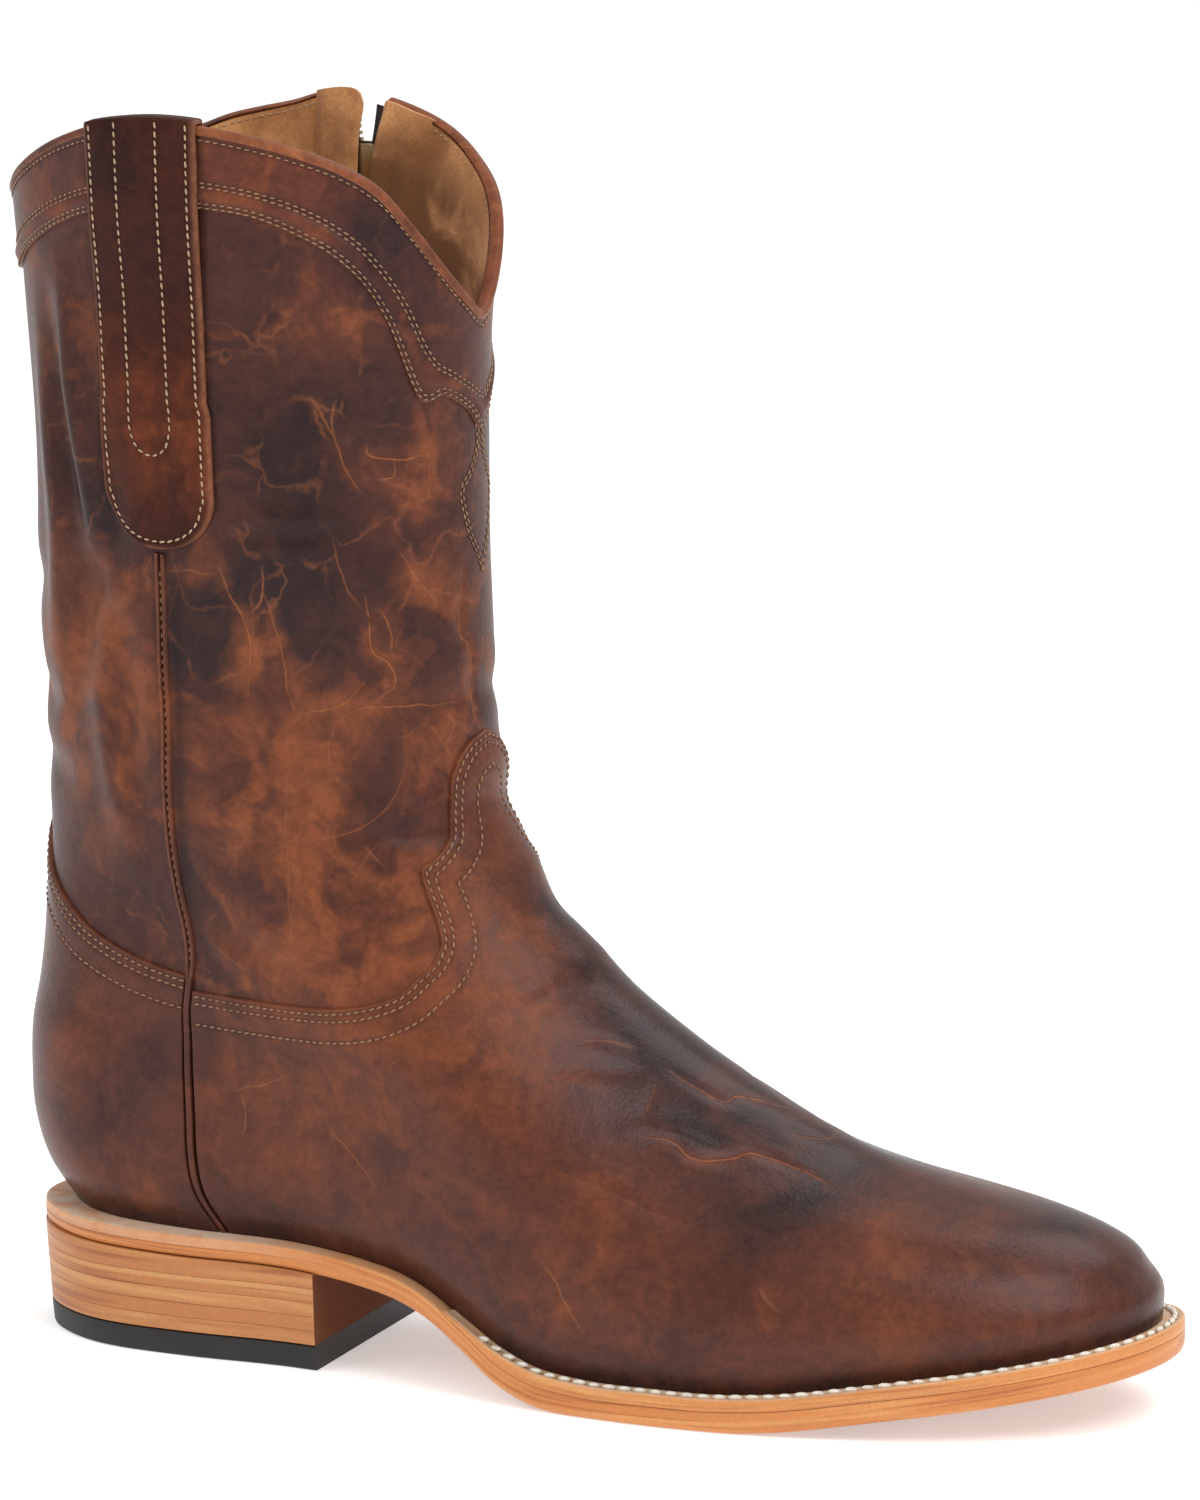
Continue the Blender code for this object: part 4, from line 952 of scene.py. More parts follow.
def make_loft(name: str, rings: Array, look: Look, tints: Tints | None = None, narrow: int = 0,
              end_tint: float = 0.0) -> Piece:
    """Makes a closed solid from rings of points, one after another.

    Args:
        name: Name of the piece.
        rings: Points, by station and by place round the ring.
        look: Its material.
        tints: Values at the points that the material reads.
        narrow: How many ends, from the first, close like a seam between the ring's two halves.
        end_tint: Value named end of the last end's face, by which the sole leather paints shade there.

    Returns:
        The new object.
    """
    stations, around = rings.shape[:2]
    station, place = np.meshgrid(np.arange(stations - 1), np.arange(around), indexing="ij")
    faces = cell_corners(station, place, around).reshape(-1, 4).tolist()
    whole = [list(range(around))]
    across = [[k, k + 1, around - 2 - k, around - 1 - k] for k in range(around // 2 - 1)]
    last = (stations - 1) * around
    faces += across if narrow > 0 else whole
    faces += [[last + k for k in reversed(face)] for face in (across if narrow > 1 else whole)]
    ends = np.zeros(len(faces))
    ends[-1] = end_tint
    return make_piece(name, rings, faces, look, tints, {"end": ends})


def dress(piece: Piece, slot: Slot, *nodes: str, body: Body = Body.BOOT) -> None:
    """Makes a piece ride on a body and stand for its nodes.

    Args:
        piece: The piece.
        slot: Not used.
        nodes: Solids that it stands for.
        body: Body that it moves with.
    """
    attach(piece, body.value)
    if nodes:
        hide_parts(*nodes)
    LOG.info("%s: %d faces on %s", piece.name, len(piece.data.polygons), body.value)


def operator(operation: str, swapped: bool = False) -> Callable[["Value", Any], "Value"]:
    """Makes a method of Value that adds one Math node.

    Args:
        operation: Operation of the node.
        swapped: Whether the other value comes first.

    Returns:
        The method.
    """
    def method(self: "Value", other: Any) -> "Value":
        """The result for this value and another."""
        return self.math(operation, *((other, self) if swapped else (self, other)))
    return method


class Value:
    """A socket of a material's tree that takes part in Python expressions."""

    def __init__(self, tree: "Shader", socket: bpy.types.NodeSocket) -> None:
        """Keeps the tree and the socket."""
        self.tree, self.socket = tree, socket

    def math(self, operation: str, first: Any, second: Any = 0.0) -> "Value":
        """Adds one Math node."""
        return self.tree.node("ShaderNodeMath", {"operation": operation}, {0: first, 1: second})

    __add__ = __radd__ = operator("ADD")
    __sub__, __rsub__ = operator("SUBTRACT"), operator("SUBTRACT", True)
    __mul__ = __rmul__ = operator("MULTIPLY")
    __truediv__, __rtruediv__ = operator("DIVIDE"), operator("DIVIDE", True)

    def clamped(self) -> "Value":
        """The value held between 0 and 1."""
        return self.tree.node("ShaderNodeClamp", {}, {"Value": self})

    def between(self, low: float, high: float) -> "Value":
        """Rises smoothly from 0 at low to 1 at high."""
        settings = {"interpolation_type": "SMOOTHSTEP"}
        return self.tree.node("ShaderNodeMapRange", settings, {"Value": self, 1: low, 2: high})

    def mix(self, first: Any, second: Any) -> "Value":
        """A colour between two, by this share of the second."""
        return self.tree.mixed("MIX", self, first, second)


def add_node(tree: bpy.types.NodeTree, kind: str, settings: Sockets | None = None,
             inputs: Sockets | None = None) -> bpy.types.Node:
    """Adds a node to a tree.

    Args:
        tree: Tree of a material or of Geometry Nodes.
        kind: Type of the node.
        settings: Its own settings, which are set first.
        inputs: Values or links of its sockets, by name or number.

    Returns:
        The node.
    """
    node = tree.nodes.new(kind)
    for key, value in (settings or {}).items():
        setattr(node, key, value)
    for key, value in (inputs or {}).items():
        socket = node.inputs[key]
        value = value.socket if isinstance(value, Value) else value
        if isinstance(value, bpy.types.NodeSocket):
            tree.links.new(value, socket)
        elif socket.type == "RGBA" and len(value) == 3:
            socket.default_value = (*value, 1.0)
        else:
            socket.default_value = value
    return node


class Shader:
    """The node tree of one material."""

    def __init__(self, name: str) -> None:
        """Starts an empty material."""
        self.material = bpy.data.materials.new(name)
        self.material.use_nodes = True
        self.material.node_tree.nodes.clear()

    def node(self, kind: str, settings: Sockets | None = None, inputs: Sockets | None = None,
             output: int | str = 0) -> Value:
        """Adds a node, and returns the output that is named or numbered."""
        node = add_node(self.material.node_tree, kind, settings, inputs)
        return Value(self, node.outputs[output])

    def place(self) -> Value:
        """Object coordinates in metres."""
        return self.node("ShaderNodeTexCoord", output="Object")

    def noise(self, spot: Value, scale: float, detail: float = 3.0, twist: float = 0.0,
              output: str = "Fac") -> Value:
        """Cloudy noise from 0 to 1, with so many clouds a metre."""
        sockets = {"Vector": spot, "Scale": scale, "Detail": detail, "Distortion": twist}
        return self.node("ShaderNodeTexNoise", {}, sockets, output)

    def cells(self, spot: Value, scale: float, feature: str = "F1") -> Value:
        """Distance within cells, with so many cells a metre."""
        return self.node("ShaderNodeTexVoronoi", {"feature": feature}, {"Vector": spot, "Scale": scale})

    def warped(self, spot: Value, scale: float, amount: float) -> Value:
        """Coordinates pushed about by noise.

        Args:
            spot: Coordinates in metres.
            scale: Clouds of the noise a metre.
            amount: How far they are pushed, in metres.

        Returns:
            The new coordinates.
        """
        cloud = self.noise(spot, scale, output="Color")
        push = self.node("ShaderNodeVectorMath", {"operation": "SCALE"}, {0: cloud, "Scale": amount})
        return self.node("ShaderNodeVectorMath", {"operation": "ADD"}, {0: spot, 1: push})

    def mixed(self, blend: str, share: Any, first: Any, second: Any) -> Value:
        """Two colours, blended by a share."""
        settings = {"data_type": "RGBA", "blend_type": blend}
        return self.node("ShaderNodeMix", settings, {0: share, 6: first, 7: second}, 2)

    def times(self, first: Value, second: Value) -> Value:
        """Product of two colours."""
        return self.mixed("MULTIPLY", 1.0, first, second)

    def tint(self, name: str) -> Value:
        """A value that the mesh carries."""
        return self.node("ShaderNodeAttribute", {"attribute_name": name}, output="Fac")

    def bump(self, height: Value) -> Value:
        """Normal of a surface with a height in millimetres."""
        return self.node("ShaderNodeBump", {}, {"Height": height, "Distance": MM, "Strength": 1.0})


@dataclass(frozen=True)
class Finish:
    """The finish of a surface."""

    name: str

    def sockets(self, tree: Shader, spot: Value) -> Sockets:
        """Sets up what a Principled shader reads.

        Args:
            tree: The material's tree.
            spot: Coordinates on the piece, in metres.

        Returns:
            Values and links of the shader's sockets, their names joined by underscores.
        """
        raise NotImplementedError

    def material(self) -> Look:
        """Builds the material.

        Returns:
            A new material.
        """
        tree = Shader(self.name)
        found = self.sockets(tree, tree.place())
        inputs = {key.replace("_", " "): value for key, value in found.items()}
        surface = tree.node("ShaderNodeBsdfPrincipled", {}, inputs)
        add_node(tree.material.node_tree, "ShaderNodeOutputMaterial", {}, {"Surface": surface})
        return tree.material


def darker(colour: Colour, share: float) -> Colour:
    """A colour that is dimmed to a share."""
    return tuple(share * part for part in colour)


@dataclass(frozen=True)
class WornLeather(Finish):
    """Waxed leather that goes rust-coloured where it is pulled and dark where the wax gathers. The marks
    that the mesh carries also paint shade along the foot of the vamp and counter, and shadows beside the
    pull strap and the outer side seam.

    Shares are from 0 to 1. The widths of cracks and the heights of the grain are in millimetres.
    """

    body: Colour
    deep: Colour
    rust: Colour
    pale: Colour
    deep_share: float = 0.5
    rust_share: float = 0.5
    veins: float = 0.36
    cloud: float = 26.0
    roughness: float = 0.38
    shine: float = 0.18
    grain: float = 0.05
    wrinkle: float = 0.14
    crack: float = 0.52
    haze: float = 6.0
    wobble: float = 1.5

    def cracks(self, tree: Shader, wander: Value, thick: Value) -> tuple[Value, Value]:
        """Draws thin pale cracks along the placed lines, and a rusty haze round them.

        Args:
            tree: The material's tree.
            wander: Noise that moves the lines about.
            thick: Noise that makes them thicker and thinner.

        Returns:
            Shares of the cracks and of the haze.
        """
        thin, haze = None, None
        for channel in range(Wear.CHANNELS):
            away = tree.tint(f"crack_{channel}") + (wander - 0.5) * self.wobble
            away = away.math("ABSOLUTE", away)
            reach = tree.tint(f"crack_reach_{channel}")
            line = reach * (1.0 - (away / (thick + 0.5)).between(0.1, self.crack))
            glow = reach * (1.0 - away.between(0.0, self.haze))
            thin = line if thin is None else thin.math("MAXIMUM", thin, line)
            haze = glow if haze is None else haze.math("MAXIMUM", haze, glow)
        return thin, haze

    def sockets(self, tree: Shader, spot: Value) -> Sockets:
        """Layers wax, rust, cracks, grain and sewn grooves, with the painted shade and shadows that the mesh
        marks.

        Args:
            tree: The material's tree.
            spot: Coordinates on the piece, in metres.

        Returns:
            Values and links of the shader's sockets.
        """
        loose = tree.warped(spot, 40.0, 0.02)
        cloud = tree.noise(loose, self.cloud, 4.0, 0.5)
        streak = tree.noise(loose, self.cloud * 2.6, 4.0, 0.7)
        fine = tree.noise(spot, 650.0, 2.0)
        thin, haze = self.cracks(tree, tree.noise(spot, 190.0, 2.0), streak)
        rust_mark, deep_mark = tree.tint("rust"), tree.tint("deep")
        # The deep mark holds darker patches, and the painted shade along the foot of the panels
        deep = cloud.between(0.44, 0.66) * self.deep_share + deep_mark * streak.between(0.05, 0.75)
        deep = (deep - rust_mark * 0.6 - haze * 0.5).clamped()
        rust = streak.between(0.48, 0.70) * self.rust_share + rust_mark * streak.between(0.25, 0.60)
        rust = (rust + haze * 0.42 * streak.between(0.30, 0.60) - deep * 0.45).clamped()
        edge = tree.cells(tree.warped(spot, 70.0, 0.020), 48.0, "DISTANCE_TO_EDGE")
        vein = (1.0 - edge.between(0.0, 0.045)) * cloud.between(0.42, 0.56) * streak.between(0.38, 0.60)
        crack = (thin * fine.between(0.10, 0.45) + vein * self.veins).clamped()
        seam, cut = tree.tint("seam"), tree.tint("cut")
        colour = deep.mix(self.body, self.deep)
        colour = rust.mix(colour, self.rust)
        colour = crack.mix(colour, self.pale)
        colour = (cut * (0.6 + fine * 0.5)).mix(colour, self.pale)
        # Darkens the stitch rows, and paints the shadows beside the pull strap and the outer side seam
        colour = (seam * 0.7).mix(colour, darker(self.deep, 0.4))
        mottle = tree.noise(loose, 230.0, 4.0) * 0.6 + fine * 0.4
        colour = tree.times(colour, mottle.between(0.32, 0.68).mix((0.80, 0.80, 0.80), (1.20, 1.18, 1.16)))
        pores = tree.cells(tree.warped(spot, 300.0, 0.001), 900.0)
        ripple = tree.noise(loose, 120.0, 3.0, 0.4)
        height = pores * self.grain + ripple * self.wrinkle + fine * (self.grain * 0.7)
        height = height - seam * 0.30 - thin * 0.35
        rough = self.roughness + rust * 0.10 - deep * 0.04 + (fine - 0.5) * 0.15
        return dict(
            Base_Color=colour, Roughness=rough, Normal=tree.bump(height),
            Specular_IOR_Level=self.shine, Specular_Tint=(0.90, 0.90, 1.0, 1.0),
        )


@dataclass(frozen=True)
class Suede(Finish):
    """Matt lining leather with a soft nap and darker marks of wear, which also paint the shade down inside
    the boot.
    """

    body: Colour
    dark: Colour
    light: Colour

    def sockets(self, tree: Shader, spot: Value) -> Sockets:
        """Layers clouds, stains with painted shade, nap and seams.

        Args:
            tree: The material's tree.
            spot: Coordinates on the piece, in metres.

        Returns:
            Values and links of the shader's sockets.
        """
        cloud = tree.noise(tree.warped(spot, 60.0, 0.01), 42.0, 4.0, 0.5)
        nap = tree.noise(spot, 1500.0, 2.0)
        colour = cloud.between(0.46, 0.66).mix(self.body, self.dark)
        colour = (1.0 - cloud.between(0.30, 0.46)).mix(colour, self.light)
        # Stains, and the painted shade that the mesh marks down inside the boot
        shade_and_stain = tree.tint("deep") * cloud.between(0.26, 0.50)
        colour = shade_and_stain.mix(colour, darker(self.dark, 0.5))
        colour = (tree.tint("seam") * 0.7).mix(colour, darker(self.dark, 0.4))
        speckle = nap.between(0.30, 0.70).mix((0.88, 0.88, 0.88), (1.10, 1.10, 1.10))
        height = nap * 0.08 + tree.noise(spot, 160.0, 3.0) * 0.20 - tree.tint("seam") * 0.3
        rough = 0.72 + (nap - 0.5) * 0.2
        return dict(
            Base_Color=tree.times(colour, speckle), Roughness=rough, Normal=tree.bump(height),
            Specular_IOR_Level=0.2, Sheen_Weight=0.15, Sheen_Roughness=0.5,
        )


@dataclass(frozen=True)
class SoleLeather(Finish):
    """Polished edge of sole leather, whose layers show as long thin streaks, paler on its upper face.

    The mesh says how far a point lies along the edge and across its layers, in millimetres.
    """

    body: Colour
    dark: Colour
    light: Colour
    face: Colour
    length: float = 55.0
    layer: float = 1.3
    contrast: float = 0.8

    def sockets(self, tree: Shader, spot: Value) -> Sockets:
        """Layers fibres, the pale face, the painted shade of the end and the stained groove.

        Args:
            tree: The material's tree.
            spot: Coordinates on the piece, in metres.

        Returns:
            Values and links of the shader's sockets.
        """
        run, layer = tree.tint("run"), tree.tint("layer")
        grid = {0: run * (1 / self.length), 1: layer * (1 / self.layer)}
        fibre = tree.noise(tree.node("ShaderNodeCombineXYZ", {}, grid), 1.0, 4.0, 0.4)
        grid = {0: run * (0.6 / self.length), 1: layer * (0.35 / self.layer), 2: 3.7}
        broad = tree.noise(tree.node("ShaderNodeCombineXYZ", {}, grid), 1.0, 3.0, 0.5)
        fine = tree.noise(spot, 900.0, 2.0)
        colour = (fibre.between(0.48, 0.68) * self.contrast).mix(self.body, self.dark)
        colour = ((1.0 - broad.between(0.36, 0.54)) * self.contrast).mix(colour, self.light)
        mottle = tree.noise(tree.warped(spot, 200.0, 0.004), 120.0, 3.0)
        face = (mottle.between(0.45, 0.75) * 0.6).mix(self.face, self.body)
        colour = (tree.tint("face") * 0.95).mix(colour, face)
        # Painted shade on a piece's end face, which on the lifts is the heel's breast
        colour = tree.tint("end").mix(colour, darker(self.dark, 0.50))
        colour = (tree.tint("seam") * 0.8).mix(colour, darker(self.dark, 0.45))
        speckle = fine.between(0.30, 0.70).mix((0.95, 0.95, 0.95), (1.04, 1.04, 1.04))
        height = fibre * 0.12 + fine * 0.03
        return dict(
            Base_Color=tree.times(colour, speckle), Normal=tree.bump(height), Specular_IOR_Level=0.35,
            Roughness=0.40 + (fine - 0.5) * 0.2 + tree.tint("face") * 0.2 + tree.tint("end") * 0.5,
        )


@dataclass(frozen=True)
class Rubber(Finish):
    """Moulded rubber, a little dusty."""

    body: Colour
    dust: Colour

    def sockets(self, tree: Shader, spot: Value) -> Sockets:
        """Lays dust over a fine moulded grain.

        Args:
            tree: The material's tree.
            spot: Coordinates on the piece, in metres.

        Returns:
            Values and links of the shader's sockets.
        """
        cloud = tree.noise(spot, 70.0, 4.0)
        fine = tree.noise(spot, 1300.0, 3.0)
        colour = (cloud.between(0.45, 0.80) * fine.between(0.40, 0.70)).mix(self.body, self.dust)
        height = fine * 0.06 + tree.cells(spot, 1100.0) * 0.05
        return dict(Base_Color=colour, Roughness=0.55 + (fine - 0.5) * 0.3, Normal=tree.bump(height))


@dataclass(frozen=True)
class Thread(Finish):
    """Twisted waxed thread."""

    body: Colour
    shade: Colour

    def sockets(self, tree: Shader, spot: Value) -> Sockets:
        """Twists two shades of thread and ages them.

        Args:
            tree: The material's tree.
            spot: Coordinates on the piece, in metres.

        Returns:
            Values and links of the shader's sockets.
        """
        ply = tree.noise(spot, 2400.0, 2.0)
        age = tree.noise(spot, 90.0, 3.0)
        colour = (ply.between(0.40, 0.70) * 0.7).mix(self.body, self.shade)
        colour = (age.between(0.50, 0.75) * 0.5).mix(colour, self.shade)
        return dict(Base_Color=colour, Roughness=0.62 + (ply - 0.5) * 0.2, Normal=tree.bump(ply * 0.12))


@dataclass(frozen=True)
class WovenTape(Finish):
    """Dark tape of a zip, woven in a fine twill."""

    body: Colour
    light: Colour

    def sockets(self, tree: Shader, spot: Value) -> Sockets:
        """Weaves a fine twill.

        Args:
            tree: The material's tree.
            spot: Coordinates on the piece, in metres.

        Returns:
            Values and links of the shader's sockets.
        """
        settings = {"wave_type": "BANDS", "bands_direction": "DIAGONAL"}
        twill = tree.node("ShaderNodeTexWave", settings, {"Vector": spot, "Scale": 420.0, "Distortion": 0.6})
        fine = tree.noise(spot, 1800.0, 2.0)
        colour = (twill * 0.6 + fine * 0.3).clamped().mix(self.body, self.light)
        height = twill * 0.1 + fine * 0.05
        return dict(Base_Color=colour, Roughness=0.85 + (fine - 0.5) * 0.1, Normal=tree.bump(height))


@dataclass(frozen=True)
class AgedMetal(Finish):
    """Aged brass, dark in its hollows and bright where it rubs."""

    body: Colour
    dark: Colour

    def sockets(self, tree: Shader, spot: Value) -> Sockets:
        """Lays a dark patina over brass.

        Args:
            tree: The material's tree.
            spot: Coordinates on the piece, in metres.

        Returns:
            Values and links of the shader's sockets.
        """
        patina = tree.noise(spot, 260.0, 4.0, 0.4)
        fine = tree.noise(spot, 2200.0, 3.0)
        colour = (patina.between(0.42, 0.66) * 0.55).mix(self.body, self.dark)
        return dict(
            Base_Color=colour, Metallic=1.0, Roughness=0.34 + patina.between(0.40, 0.70) * 0.22,
            Normal=tree.bump(fine * 0.02),
        )


@dataclass(frozen=True)
class Paper(Finish):
    """Plain matt floor, lit through a little so that it stays white."""

    body: Colour
    glow: float

    def sockets(self, tree: Shader, spot: Value) -> Sockets:
        """Lays a faint cloud over plain white.

        Args:
            tree: The material's tree.
            spot: Coordinates on the piece, in metres.

        Returns:
            Values and links of the shader's sockets.
        """
        soft = tree.noise(spot, 3.0, 2.0)
        colour = soft.mix(self.body, darker(self.body, 0.99))
        return dict(
            Base_Color=colour, Roughness=0.9, Specular_IOR_Level=0.1,
            Emission_Color=(1.0, 1.0, 1.0), Emission_Strength=self.glow,
        )


SHAFT_LEATHER = WornLeather(
    "shaft_leather", (0.066, 0.0205, 0.0130), (0.025, 0.0108, 0.0090),
    (0.182, 0.052, 0.0190), (0.240, 0.078, 0.030),
)
VAMP_LEATHER = WornLeather(
    "panel_leather", (0.092, 0.0275, 0.0155), (0.028, 0.0122, 0.0098),
    (0.165, 0.046, 0.0150), (0.250, 0.083, 0.032),
    deep_share=0.40, rust_share=0.35, veins=0.05, roughness=0.33, shine=0.21, wrinkle=0.08, crack=0.55,
)
BAND_LEATHER = WornLeather(
    "collar_leather", (0.087, 0.0252, 0.0156), (0.030, 0.0115, 0.0100),
    (0.180, 0.050, 0.0185), (0.260, 0.095, 0.040),
    deep_share=0.45, rust_share=0.6, veins=0.08, wrinkle=0.10,
)
BINDING_LEATHER = WornLeather(
    "binding_leather", (0.190, 0.056, 0.022), (0.070, 0.021, 0.011),
    (0.290, 0.098, 0.036), (0.340, 0.140, 0.062),
    deep_share=0.50, rust_share=0.6, veins=0.0, cloud=70.0,
)
STRAP_LEATHER = WornLeather(
    "strap_leather", (0.055, 0.0140, 0.0074), (0.025, 0.0076, 0.0053),
    (0.135, 0.033, 0.0105), (0.270, 0.110, 0.060),
    rust_share=0.42, veins=0.05, cloud=34.0, wrinkle=0.08, shine=0.10,
)
LINING = Suede("lining_leather", (0.600, 0.285, 0.112), (0.330, 0.135, 0.047), (0.700, 0.370, 0.158))
FOOTBED = Suede("footbed_leather", (0.420, 0.220, 0.095), (0.260, 0.120, 0.050), (0.480, 0.270, 0.130))
SOLE = SoleLeather(
    "sole_leather", (0.590, 0.215, 0.060), (0.370, 0.105, 0.028),
    (0.690, 0.320, 0.110), (0.660, 0.500, 0.370),
)
WELT = SoleLeather(
    "welt_leather", (0.620, 0.245, 0.074), (0.400, 0.130, 0.038),
    (0.720, 0.370, 0.140), (0.740, 0.520, 0.340),
)
LIFT = SoleLeather(
    "lift_leather", (0.470, 0.180, 0.058), (0.270, 0.080, 0.024),
    (0.600, 0.300, 0.112), (0.470, 0.180, 0.058),
    length=70.0, layer=2.2, contrast=0.80,
)
RUBBER = Rubber("heel_rubber", (0.007, 0.006, 0.006), (0.025, 0.021, 0.021))
BEIGE_THREAD = Thread("beige_thread", (0.320, 0.185, 0.096), (0.170, 0.084, 0.040))
STRAP_THREAD = Thread("strap_thread", (0.460, 0.310, 0.190), (0.260, 0.150, 0.082))
TAN_THREAD = Thread("tan_thread", (0.290, 0.145, 0.070), (0.150, 0.064, 0.030))
WHITE_THREAD = Thread("white_thread", (0.880, 0.830, 0.740), (0.640, 0.540, 0.410))
TAPE = WovenTape("zip_tape", (0.014, 0.011, 0.010), (0.050, 0.040, 0.034))
BRASS = AgedMetal("zip_metal", (0.380, 0.270, 0.130), (0.110, 0.080, 0.045))
FLOOR = Paper("pale_floor", (0.90, 0.90, 0.90), 0.42)


class Along:
    """A Geometry Nodes tree that repeats a small form along paths."""

    SEED = 7
    LEAST, MOST = 0.90, 1.08
    INPUTS = {"Geometry": "Geometry", "Pitch": "Float", "Size": "Vector", "Slant": "Float", "Seed": "Int",
              "Finish": "Material"}

    def __init__(self, form: Form) -> None:
        """Builds the tree, with named inputs for its sizes.

        Args:
            form: The form that is repeated.
        """
        self.group = bpy.data.node_groups.new(f"{form.value}_along_path", "GeometryNodeTree")
        for name, kind in self.INPUTS.items():
            self.group.interface.new_socket(name, in_out="INPUT", socket_type=f"NodeSocket{kind}")
        self.group.interface.new_socket("Geometry", in_out="OUTPUT", socket_type="NodeSocketGeometry")
        given = add_node(self.group, "NodeGroupInput").outputs
        path = self.add("GeometryNodeMeshToCurve", {}, {"Mesh": given["Geometry"]})
        spacing = {"Curve": path, "Length": given["Pitch"]}
        spaced = self.add("GeometryNodeResampleCurve", {"mode": "LENGTH"}, spacing)
        out = self.add("GeometryNodeInputNamedAttribute", {"data_type": "FLOAT_VECTOR"}, {"Name": "out"})
        tangent = self.add("GeometryNodeInputTangent")
        side = self.vector("CROSS_PRODUCT", {0: out, 1: tangent})
        lean = self.vector("SCALE", {0: side, "Scale": given["Slant"]})
        aim = self.vector("ADD", {0: tangent, 1: lean})
        axes = {"primary_axis": "Z", "secondary_axis": "X"}
        turn = self.add("FunctionNodeAxesToRotation", axes, {0: out, 1: aim})
        spread = {2: self.LEAST, 3: self.MOST, "Seed": given["Seed"]}
        vary = self.add("FunctionNodeRandomValue", {"data_type": "FLOAT"}, spread, 1)
        size = self.vector("SCALE", {0: given["Size"], "Scale": vary})
        copies = {"Points": spaced, "Instance": self.shape(form), "Rotation": turn, "Scale": size}
        placed = self.add("GeometryNodeInstanceOnPoints", {}, copies)
        real = self.add("GeometryNodeRealizeInstances", {}, {0: placed})
        smooth = self.add("GeometryNodeSetShadeSmooth", {}, {0: real, "Shade Smooth": form is Form.STITCH})
        painted = self.add("GeometryNodeSetMaterial", {}, {0: smooth, "Material": given["Finish"]})
        add_node(self.group, "NodeGroupOutput", {}, {0: painted})

    def add(self, kind: str, settings: Sockets | None = None, inputs: Sockets | None = None,
            output: int = 0) -> Any:
        """Adds a node, and returns the output with a number."""
        return add_node(self.group, kind, settings, inputs).outputs[output]

    def vector(self, operation: str, inputs: Sockets) -> Any:
        """Adds a Vector Math node."""
        return self.add("ShaderNodeVectorMath", {"operation": operation}, inputs)

    def shape(self, form: Form) -> Any:
        """Makes one copy.

        Args:
            form: The form that is repeated.

        Returns:
            A mesh, one unit long each way.
        """
        if form is Form.STITCH:
            return self.add("GeometryNodeMeshUVSphere", {}, {"Segments": 8, "Rings": 6, "Radius": 0.5})
        return self.add("GeometryNodeMeshCube", {}, {"Size": (1.0, 1.0, 1.0)})

    def make(self, name: str, paths: Sequence[Path], pitch: float, size: Sizes, look: Look,
             slant: float = 0.0) -> Piece:
        """Repeats the form along paths.

        Args:
            name: Name of the piece.
            paths: Points of each path in millimetres, with the directions out of the surface there.
            pitch: Distance from one copy to the next, in millimetres.
            size: Length along the path, width and height of a copy, in millimetres.
            look: Its material.
            slant: How far a copy leans across the path, as a share of its length.

        Returns:
            One plain mesh of all the copies.
        """
        points, outs = (np.concatenate(part) for part in zip(*paths))
        edges, start = [], 0
        for path, _ in paths:
            edges += [(start + k, start + k + 1) for k in range(len(path) - 1)]
            start += len(path)
        mesh = bpy.data.meshes.new(name)
        mesh.from_pydata(((points - ORIGIN) * MM).tolist(), edges, [])
        layer = mesh.attributes.new("out", "FLOAT_VECTOR", "POINT")
        layer.data.foreach_set("vector", outs.astype(np.float32).ravel())
        piece = linked(name, mesh)
        modifier = piece.modifiers.new("repeat", "NODES")
        modifier.node_group = self.group
        values = {"Pitch": pitch * MM, "Size": [part * MM for part in size], "Slant": slant,
                  "Seed": self.SEED, "Finish": look}
        for item in self.group.interface.items_tree:
            if item.in_out == "INPUT" and item.name in values:
                modifier[item.identifier] = values[item.name]
        plain = made_plain(piece)
        plain.name = name
        if "out" in plain.attributes:
            plain.attributes.remove(plain.attributes["out"])
        return piece


STITCHES = Along(Form.STITCH)
TEETH = Along(Form.TOOTH)


def on_upper(line: Array, out: float) -> Path:
    """A path on the upper from angles and levels, at a height over its skin."""
    skin = Skin(line[:, 0], line[:, 1])
    return skin.at(out), skin.normal


def seam_share(points: Array, rows: Sequence[Path], width: float) -> Array:
    """How near points lie to rows of stitches.

    Args:
        points: Points in space.
        rows: Paths of the stitches.
        width: Reach of a row, in millimetres.

    Returns:
        A share for each point, 1 on a row and 0 beside it.
    """
    samples = np.concatenate([row[0] for row in rows])
    tree = kdtree.KDTree(len(samples))
    for index, sample in enumerate(samples):
        tree.insert(sample, index)
    tree.balance()
    away = np.array([tree.find(point)[2] for point in points.reshape(-1, 3)])
    return bell(away / width).reshape(points.shape[:-1])


def streaks(rings: Array) -> Tints:
    """Distances along rings of points and up them, which the layers of sole leather follow.

    Args:
        rings: Points, by station and by place round the ring.

    Returns:
        Values that the sole leather's material reads.
    """
    steps = np.linalg.norm(np.diff(rings, axis=0), axis=-1).mean(axis=1)
    run = np.concatenate([[0.0], np.cumsum(steps)])[:, None]
    return {"run": run + np.linspace(0, 90.0, rings.shape[1]).round(-1), "layer": rings[..., 2]}


def around_zip(level: Array, share: Array, clear: float) -> Array:
    """Angles from the zip's slot round the toe and the heel to its other side.

    Args:
        level: Levels.
        share: Places from 0 at the front edge to 1 at the rear edge.
        clear: Distance from the slot, in millimetres.

    Returns:
        Angles, which run on past 180 at the heel.
    """
    half = LAST.slot_half(level) + clear
    front = LAST.beside_zip(level, half)
    rear = LAST.beside_zip(level, -half) + 360
    return front + (rear - front) * share


